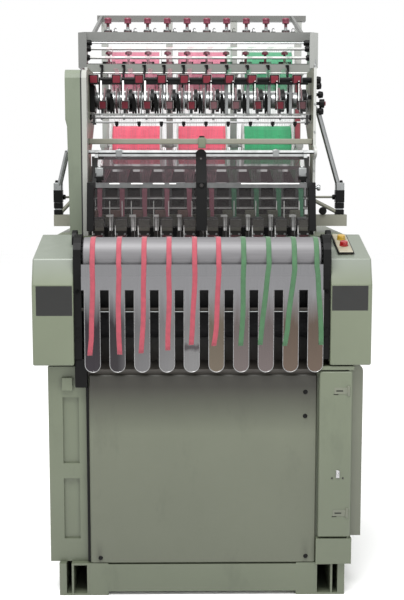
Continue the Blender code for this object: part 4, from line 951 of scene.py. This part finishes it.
def upright_fittings():
    """Knobs and nuts outside the right upright, and bolt heads on both."""
    black, nuts = shapes(2)
    for z, depth, reach in SIDE_KNOBS:
        profile = [(0, 0), (0.006, 0), (0.006, reach - 0.010), (0.012, reach - 0.009)]
        profile += [(0.0135, reach - 0.004), (0.011, reach + 0.008), (0, reach + 0.010)]
        black.turned(profile, at(BIG_KNOB[0], depth, z), steps=18)
    big = mm(0, 0, 6, 0, 6, 20, 16, 21, 16.5, 38, 9, 39, 0, 39)
    black.turned(big, at(*BIG_KNOB), steps=20).piece("right_adjusting_knobs")
    red = Shape().turned(mm(0, 38.5, 8.5, 38.5, 8, 43, 0, 44.5), at(*BIG_KNOB))
    red.piece("right_knob_centre", "red_plastic")
    top = Shape().block(0, 412.5, 420.5, 424, 442, 1829.9, 1844)
    top.wire([at(0.4175, 0.4330, 1.842), at(0.4195, 0.4330, 1.868)], 0.0018)
    top.piece("right_upright_catch", "machined_metal", bevel=0.001)
    for side in (-1, 1):
        for depth, z in ((0.505, 1.656), (0.450, 1.566)):
            nuts.turned(faced(domed(0.011, 0.006), -side), at(0.411 * side, depth, z), steps=6)
    nuts.piece("upright_nuts")
    places = [(x, 0.420, z) for x in (-0.416, 0.416) for z in (1.25, 1.32, 1.46, 1.60, 1.70)]
    screw = (0, -3, 3.5, -2.5, 3.5, 0, 0, 0)
    screw_piece("upright_screws", "machined_metal", screw, 10, *places)


# Smoked guard

# The two sides of each glint, in millimetres
GLINTS = ((-323, -287.9), (-247, -206.1), (-171, -130.1), (-112.5, -89.1), (139.3, 344.5))
CHEEK = mm(247.8, 1418.8, 283, 1418.8, 263, 1249.2, 216, 1249.2)


def cover_fittings():
    clamps, joints, feet, cheeks, bolts = shapes(5)
    for x in (-0.297, 0.272):
        clamps.block(x, -12, 12, 375.5, 398.5, 1508.5, 1535.5)
        clamps.turned(domed(0.004, 0.004), at(x, 0.387, 1.5354), "Z", 10)
    clamps.piece("rod_clamps", "machined_metal", COVER, bevel=0.002)
    for x in (-0.362, 0.360):
        joints.block(x, -14, 14, 288, 322, 1436, 1470)
        joints.turned(domed(0.008, 0.006), at(x, 0.305, 1.4699), "Z", 14)
        feet.block(x, -16, 16, 268, 300, 1419.5, 1440)
    joints.piece("cover_corner_clamps", "machined_metal", COVER, bevel=0.002)
    feet.piece("cover_corner_feet", "black_plastic", COVER, bevel=0.002)
    for x in (-0.4025, 0.3775):
        cheeks.side_plate(CHEEK, x, 0.0250)
    cheeks.piece("cover_cheek_caps", "black_paint", COVER, bevel=0.0015)
    glints = [(*ends, 244.8, 247, 1413, 1416.5) for ends in GLINTS]
    block_piece("joint_bar_glints", "white_guide_enamel", 0.0006, *glints, body=COVER)
    knob = mm(0, 0, 5, 0, 5, 6, 9, 7, 11, 12, 9, 18, 0, 19)
    Shape().turned(knob, at(0.4022, 0.262, 1.400)).piece("cover_knob", "machined_metal", COVER)
    bolt = mm(0, -4, 6, -3, 7.5, 2, 7.5, 6, 0, 6)
    for depth, z, lean in ((0.3565, 1.497, 40), (0.3110, 1.457, 40), (0.2340, 1.4085, 0)):
        tilt = Matrix.Rotation(math.radians(lean), 4, "X")
        bolts.turned(bolt, at(0.0, depth, z), "Y", 14, tilt)
    bolts.piece("centre_strip_bolts", "dark_head_metal", COVER)
    catch = (-10, 18, 433, 438.8, 1541, 1580)
    block_piece("cross_bar_catch", "green_enamel_sprayed", 0.002, catch)
    top = Shape().turned(mm(0, 0, 6, 0, 10, 3, 10, 9, 0, 11), at(0.004, 0.445, 1.5762), "Z", 14)
    top.piece("cross_bar_catch_knob")


# Heads and warp

WIDE_GUIDES = (1, 2, 6, 9)
HEAD_BLOCKS = (
    ("head_face_plates", "head_plate_metal", 0.0015, (16.5, 57, 353.5, 356.8, 1242, 1283)),
    ("head_plate_edges", "bright_steel", 0, (16.5, 57, 353, 357.2, 1283.2, 1285)),
    ("head_side_blocks", "black_plastic", 0.001, (58, 72, 354, 356.8, 1220, 1260)),
    # Maroon blocks at the foot of each head: painted shade, standing in for pink threads seen in
    # shade
    ("head_shaded_thread_blocks", "maroon_plastic", 0.0012, (18, 54, 353.5, 356.8, 1214, 1227)),
)


def head_fittings():
    guides, needles, rods, screws = shapes(4)
    for number, x in enumerate(row(HEAD_ROW)):
        guides.block(x, -7, 5.8, 356, 404, 1243, 1300)
        left = -17 if number in WIDE_GUIDES else -10
        guides.block(x, left, 7, 350, 370, 1292.5, 1300.5)
        needles.wire(run(x, (0.002, 0.3545, 1.296), (0.002, 0.3540, 1.212)), 0.0013)
        rods.wire(run(x, (0.0150, 0.3545, 1.262), (0.0155, 0.3540, 1.206)), 0.0019)
        bow = arc((x + 0.036, 1.238), 0.024, 200, 340, 8)
        needles.wire([at(u, 0.345, z) for u, z in bow], 0.0011)
        for offset, z in ((0.020, 1.276), (0.050, 1.276), (0.020, 1.230), (0.050, 1.230)):
            screws.turned(mm(0, -3.5, 4, -3, 4.5, 0, 0, 0), at(x + offset, 0.3571, z), "Y", 10)
    guides.piece("white_weft_guides", "white_guide_enamel", bevel=0.001)
    needles.piece("needles", "bright_steel")
    rods.piece("needle_rods", "white_guide_enamel")
    screws.piece("head_screws", "machined_metal")
    for name, paint, bevel, box in HEAD_BLOCKS:
        block_piece(name, paint, bevel, box, places=row(HEAD_ROW))


REED_POSTS = (
    -0.3372, -0.2913, -0.2573, -0.1746, -0.1191, -0.0330, 0.1232, 0.2037, 0.2810, 0.3089, 0.3646,
)
# The two sides of each stop, in millimetres
HEALD_STOPS = (
    (-333.5, -301.8), (-253.2, -209.8), (-167.2, -122.3), (-84.9, -60.6), (-20, 20),
    (68.6, 113.5), (162.2, 199.7), (233.5, 267.2), (304.7, 337),
)
BROWN_CASES = 5


def heddles():
    """Wire heddles, the black stops under the back frame, and the cased reeds with their posts."""
    for label, depth, low in (("front", FRONT_HEALD, 1316), ("back", BACK_HEALD, 1352)):
        wires = Shape()
        middle = depth * 1000
        for x in row(WARP_ROW):
            for number in range(9):
                place = x + (number - 4) * 0.0042 + draw.uniform(-0.0006, 0.0006)
                wires.block(place, -0.5, 0.5, middle - 1.2, middle + 1.2, low + 11, low + 149)
        wires.piece(label + "_heddles", "machined_metal", label + "_heald")
    stops = [(*ends, 486.5, 493.8, 1338.5, 1352.5) for ends in HEALD_STOPS]
    block_piece("heald_stops", "black_plastic", 0.0008, *stops, body="back_heald")
    case = (-43, -5, 430, 442, 1288, 1315)
    browns, greens = row(WARP_ROW)[:BROWN_CASES], row(WARP_ROW)[BROWN_CASES:]
    block_piece("left_reed_cases", "reed_case_brown", 0.0015, case, places=browns)
    block_piece("right_reed_cases", "reed_case_green", 0.0015, case, places=greens)
    post = (-1.6, 1.6, 441.8, 445.5, 1230, 1348)
    block_piece("reed_posts", "white_guide_enamel", 0, post, places=REED_POSTS)
    rail = (-389, 389, 440.8, 445.5, 1230, 1235.5)
    block_piece("reed_post_rail", "machined_metal", 0, rail)


def colour_of(number):
    return "pink" if number < PINK_HEADS else "green"


def warp_threads():
    """Ten warps, from the beams over the rack rods, through the healds and reed to the heads."""
    warps = {"pink": Shape(), "green": Shape()}
    for number, x in enumerate(row(WARP_ROW)):
        beam = min(number // 3, 2)
        places = 3 if number < PINK_HEADS else 4
        share = number - 3 * beam - (places - 1) / 2
        centre = BEAM_MIDDLES[beam] + share * 0.216 / places
        upper_x = max(-0.330, min(0.334, x * 0.95))
        for strand in range(10):
            upper = strand % 2
            z, lift = (UPPER_BEAMS, 0.090) if upper else (LOWER_BEAMS, 0.0885)
            rod, over = (0.990, 1.9645) if upper else (0.940, 1.9235)
            heald, eye = (BACK_HEALD, 1.405) if upper else (FRONT_HEALD, 1.392)
            spread = (strand - 4.5) * 0.0028
            start = centre + (strand - 4.5) * 0.0052
            far = (
                (start, 1.470, z + lift * 0.95),
                (start + (x + spread - start) * 0.6, rod + 0.02, over),
                (x + spread * 0.9, rod - 0.006, over - 0.001),
                (upper_x + spread * 0.6, 0.8340, 1.852),
                (upper_x + spread * 2.6, 0.590, 1.545),
            )
            near = (
                far[-1],
                ((x + upper_x) / 2 + spread * 1.9, 0.542, 1.480),
                (x + spread * 0.75, heald, eye),
                (x + spread * 0.65, 0.456, 1.382),
                (x + spread * 0.6, 0.446, 1.300),
                (x + spread * 0.6, 0.428, 1.262),
                (x + spread * 0.5, 0.408, 1.242),
            )
            warps[colour_of(number)].wire(run(0, *far), 0.00038, 3)
            warps[colour_of(number)].wire(run(0, *near), 0.0010, 5)
    for colour, warp in warps.items():
        warp.piece(colour + "_warp_threads", colour + "_thread")


# Ribbons and take-off

RIBBON_TOP = (-0.3657, -0.278, -0.194, -0.1109, -0.0254, 0.0548, 0.1381, 0.222, 0.3071, 0.3817)
RIBBON_END = (-0.3720, -0.2815, -0.2045, -0.1150, -0.0365, 0.0410, 0.1310, 0.1960, 0.2790, 0.3990)
RIBBON_LOW = (0.846, 0.849, 0.853, 0.863, 0.881, 0.8775, 0.8774, 0.8806, 0.8771, 0.8802)
RIBBON_SKEW = (0.1, -0.25, 0.15, 0.1, 0.1, 0.35, 0.2, 0.25, 0.5, -0.3)
RIBBON_BEND = (1.6, 1.6, 1.6, 1.6, 1.6, 1.6, 1.3, 0.75, 1.0, 0.6)
RIBBON_KINK = (-0.006, 0.004, 0, 0, -0.002, -0.003, -0.001, -0.002, -0.004, 0)
RIBBON_HALF = 0.0085
RIBBON_THICK = 0.0005
RIBBON_RADIUS = 0.0629
RIBBON_STEPS = 18
RIBBON_COLUMNS = 4
SHEET_TOP = 1.140


def ribbon_path(number):
    """(point, edge turn) from the fell of the cloth over the roller and down the sheet."""
    top, end, low = RIBBON_TOP[number], RIBBON_END[number], RIBBON_LOW[number]
    start = row(WARP_ROW)[number]
    path = [(start, 0.3500, 1.2180), (start + (top - start) * 0.4, 0.250, 1.2270)]
    path.append((start + (top - start) * 0.8, 0.150, 1.2350))
    path += [(top, *spot) for spot in arc(ROLLER_AXIS, RIBBON_RADIUS, 80, 170, 9)]
    path += [(top, 0.0068, 1.172), (top, 0.0026, 1.160), (top, 0.0010, 1.150)]
    points = [(at(*spot), 0) for spot in path]
    for step in range(RIBBON_STEPS + 1):
        share = step / RIBBON_STEPS
        sway = (end - top) * share ** RIBBON_BEND[number]
        sway += RIBBON_KINK[number] * max(0, share - 0.8) * 5
        wander = 0.0012 * math.sin(7 * share + number * 1.7)
        turn = RIBBON_SKEW[number] * max(0, share - 0.45) * 0.6
        z = SHEET_TOP - (SHEET_TOP - low) * share
        points.append((at(top + sway + wander, 0.0006, z), turn))
    return points


def ribbons():
    for number in range(HEADS):
        cloth = Shape()
        points = ribbon_path(number)
        rows = []
        for here, turn in points:
            line = []
            for column in range(RIBBON_COLUMNS + 1):
                offset = (column / RIBBON_COLUMNS - 0.5) * 2 * RIBBON_HALF
                aside = (offset * math.cos(turn), 0, offset * math.sin(turn) * 0.6)
                line.append(here + Vector(aside))
            rows.append(cloth.ring(line))
        for low, high in zip(rows, rows[1:]):
            for column in range(RIBBON_COLUMNS):
                corners = (low[column], low[column + 1], high[column + 1], high[column])
                cloth.form.faces.new(corners)
        name = f"ribbon_{number + 1}"
        obj = cloth.piece(name, colour_of(number) + "_ribbon_weave", sharp=180)
        solid = obj.modifiers.new("thickness", "SOLIDIFY")
        solid.thickness = RIBBON_THICK
        solid.offset = 0


def tongue_edges():
    """The bright rolled edge round each tongue of the sheet, and the wire under the sheet's bar."""
    edges = Shape()
    half = 0.027
    inset = half - 0.0012
    for x in row(TONGUE_ROW):
        tip = arc((x, 0.787 + half), inset, 180, 360, 14)
        path = [(x - inset, 1.066), *tip, (x + inset, 1.066)]
        edges.wire([at(u, 0.0022, z) for u, z in path], 0.0013)
    edges.piece("tongue_edges", "bright_steel")
    lip = mm(1.6, 1111.6, 4.2, 1111.6, 5.2, 1150, 3.2, 1151.6)
    Shape().side_plate(lip, -0.4030, 0.8060).piece("sheet_upper_lip", "mirror_sheet_steel")
    line = Shape().wire([at(x, 0.0085, 0.9928) for x in (-0.3880, 0.3880)], 0.0016, 8)
    line.piece("sheet_bar_wire", "machined_metal")


def gear_outline(centre, radius, teeth):
    """The outline of a toothed wheel whose axis lies across the machine."""
    ring = []
    for tooth in range(teeth):
        for share, reach in ((0.0, 0.93), (0.28, 0.93), (0.42, 1.0), (0.72, 1.0), (0.86, 0.93)):
            angle = 2 * math.pi * (tooth + share) / teeth
            reach *= radius
            ring.append((centre[0] + reach * math.cos(angle), centre[1] + reach * math.sin(angle)))
    return ring


def take_off_fittings():
    black = Shape()
    casting = [(0.146, 1.206), *arc((0.180, 1.222), 0.034, 180, 0, 12), (0.214, 1.206)]
    for x, inner in ((-0.4480, -0.4036), (0.4310, 0.3986)):
        black.side_plate(casting, x, 0.017)
        black.side_plate(gear_outline(ROLLER_AXIS, 0.060, 22), inner, 0.005)
    black.piece("take_off_castings", "black_paint", bevel=0.001)
    ends = [(r, p - 0.4245) for r, p in mm(0, 0, 12, 0, 12, 26.8, 60, 26.8, 62, 28.8)]
    tube = Shape().turned(ends + faced(ends, -1), at(0, *ROLLER_AXIS), steps=80)
    tube = tube.piece("take_off_roller_tube", "roller_steel", "take_off")
    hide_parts("take_off_roller")
    places = [(x, 0.0121, z) for x in (-0.4166, 0.4166) for z in (1.06, 0.93, 0.90, 1.06)]
    bolt = (0, -4, 7.5, -3, 7.5, 0, 0, 0)
    screw_piece("bracket_bolts", "black_plastic", bolt, 6, *places)
    foot = (-429.2, -388, 14, 44, 733, 830)
    block_piece("left_bracket_foot", "black_paint", 0.003, foot)


# Body


def body_fittings():
    hinges, slots_and_shade = shapes(2)
    spots = ((0.350, 0.7156), (0.350, 0.6325), (0.357, 0.1384), (-0.350, 0.1345))
    screw = (0, -4, 6, -3, 8, 0, 0, 0)
    places = [(x, 0.0208, z) for x, z in spots]
    screw_piece("front_panel_screws", "black_plastic", screw, 14, *places)
    # A black strip that paints the shade in the gap between the left casting and the panel
    gap_shade = (-393.8, -384.4, 27, 44.6, 120, 732)
    block_piece("panel_gap_shade_strip", "black_plastic", 0.0015, gap_shade)
    pin = mm(0, -17, 4.5, -17, 5.5, -15, 5.5, 15, 4.5, 17, 0, 17)
    for z in (722, 296):
        hinges.turned(pin, at(0.4945, 0.0068, z / 1000), "Z", 12)
        hinges.block(0, 446, 494.5, 4.8, 6.2, z - 11, z + 11)
        slots_and_shade.block(0, 453, 476, 4.2, 4.7, z - 1.8, z + 1.8)
        # A dark strip under each leaf: painted shade
        slots_and_shade.block(0, 444, 460, 5, 6.2, z - 13.5, z - 11.3)
    hinges.piece("door_hinge_leaves", "side_box_enamel", "door", bevel=0.0008)
    slots_and_shade.piece("door_hinge_slots_and_shade", "black_plastic", "door", bevel=0.0001)
    lock = Shape().block(0, 456, 468, 2.6, 6.2, 420, 446)
    lock.turned(mm(0, -4, 4.5, -3, 5.5, 0, 0, 0), at(0.462, 0.0042, 0.433), "Y", 14)
    lock.piece("door_latch", "bright_steel", "door", bevel=0.001)
    places = [(x, 0.0061, 0.4185) for x in (0.4428, 0.4797)]
    screw = (0, -2, 2.8, -1.5, 3.5, 0, 0, 0)
    screw_piece("door_latch_screws", "dark_head_metal", screw, 12, *places, body="door")
    lug = (-477, -440, 33, 45.2, 719, 764)
    block_piece("left_column_bracket", "green_enamel_sprayed", 0.002, lug)


# Depth and z of the front and back edges of the control panel's slope
PANEL_FRONT, PANEL_BACK = (0.035, 1.169), (0.300, 1.234)


def panel_buttons():
    """The two push buttons of the control panel, with the black rim of its plate, which also paints
    the shadow line along the plate's lower edge.
    """
    slope = math.atan2(PANEL_BACK[1] - PANEL_FRONT[1], PANEL_BACK[0] - PANEL_FRONT[0])
    centre = at(0.488, *[sum(edges) / 2 for edges in zip(PANEL_BACK, PANEL_FRONT)])
    normal = Vector((0, -math.sin(slope), math.cos(slope)))
    along = Vector((0, math.cos(slope), math.sin(slope)))
    tilt = Matrix.Rotation(slope, 4, "X")
    cap = mm(0, 0, 15, 0, 15, 3, 13.8, 3.5, 14.2, 11, 12, 15.2, 0, 16.5)
    for name, place, paint in (
        ("start_cap", 0.035, "yellow_plastic"),
        ("stop_cap", -0.035, "scarlet_plastic"),
    ):
        spot = centre + normal * 0.0125 + along * place
        Shape().turned(cap, spot, "Z", 22, tilt).piece(name, paint)
    corners = mm(-25.2, -101.2, 25.2, -101.2, 25.2, 101.2, -25.2, 101.2)
    lift = centre + normal * 0.0060
    spots = [lift + Vector((u, 0, 0)) + along * v for u, v in closed(corners)]
    Shape().wire(spots, 0.0030, 8).piece("control_panel_rim")


def side_fittings():
    """Bracket arms, discs and black blocks round the rear beam's two ends."""
    arms, black = shapes(2)
    for side, x, inner in ((-1, -0.540, -0.482), (1, 0.530, 0.4225)):
        arms.wire([at(inner, 0.556, 1.352), at(x - 0.010 * side, 0.5535, 1.302)], 0.0075, 10)
        end = at(x - 0.016 * side, 0.580, 1.3585)
        arms.wire([at(inner, 0.580, 1.3585), end], 0.0045, 10)
        knob = mm(0, -8, 9, -7, 10, 0, 9, 7, 0, 8)
        black.turned(knob, at(x - 0.018 * side, 0.580, 1.3585), steps=14)
        disc = mm(0, -6, 13, -6, 15, -3, 15, 3, 0, 3)
        black.turned(disc, at(0.4632 * side, 0.5310, 1.3075), "Y", 18)
        black.block(x, -16.5, 16.5, 545.5, 574.5, 1293.5, 1312)
        black.block(x, -16.5, 16.5, 545.5, 574.5, 1316, 1337.5)
        black.block(x, -16.8, 16.8, 541.2, 578.8, 1338.5, 1386)
        black.turned(domed(0.006, 0.010), at(x + 0.006 * side, 0.560, 1.413), "Z", 10)
    arms.piece("rear_bracket_arms", "pale_enamel_sprayed")
    black.piece("rocker_couplings", bevel=0.0015)


# Stage and light


def stage():
    form = bmesh.new()
    bmesh.ops.create_grid(form, x_segments=1, y_segments=1, size=14)
    mesh = bpy.data.meshes.new("floor")
    form.to_mesh(mesh)
    form.free()
    paint = Paint("pale_floor", 0.9)
    paint.colour(paint.blend(paint.noise(1.5, 2), (0.97, 0.97, 0.97), (0.98, 0.98, 0.98)))
    mesh.materials.append(PAINTS["pale_floor"])
    link("floor", mesh)


def light(name, place, target, size, power):
    data = bpy.data.lights.new(name, "AREA")
    data.shape = "RECTANGLE"
    data.size, data.size_y = size
    data.energy = power
    lamp = link(name, data)
    lamp.location = place
    lamp.rotation_euler = (Vector(target) - Vector(place)).to_track_quat("-Z", "Y").to_euler()


def lights():
    world = bpy.data.worlds.new("studio")
    bpy.context.scene.world = world
    world.use_nodes = True
    world.node_tree.nodes["Background"].inputs["Color"].default_value = (1, 1, 1, 1)
    world.node_tree.nodes["Background"].inputs["Strength"].default_value = 1.0
    light("key_light", (-0.6, -2.4, 4.8), (0, -0.4, 1.0), (3.4, 1.8), 320)
    light("fill_light", (2.8, -3.8, 2.0), (0, -0.4, 1.0), (2.0, 2.4), 40)
    bpy.context.scene.view_settings.view_transform = "Standard"


tensioners()
rack_fittings()
creel_fittings()
red_knobs()
feed_guides()
upright_fittings()
cover_fittings()
head_fittings()
heddles()
warp_threads()
ribbons()
tongue_edges()
take_off_fittings()
body_fittings()
panel_buttons()
side_fittings()
stage()
lights()
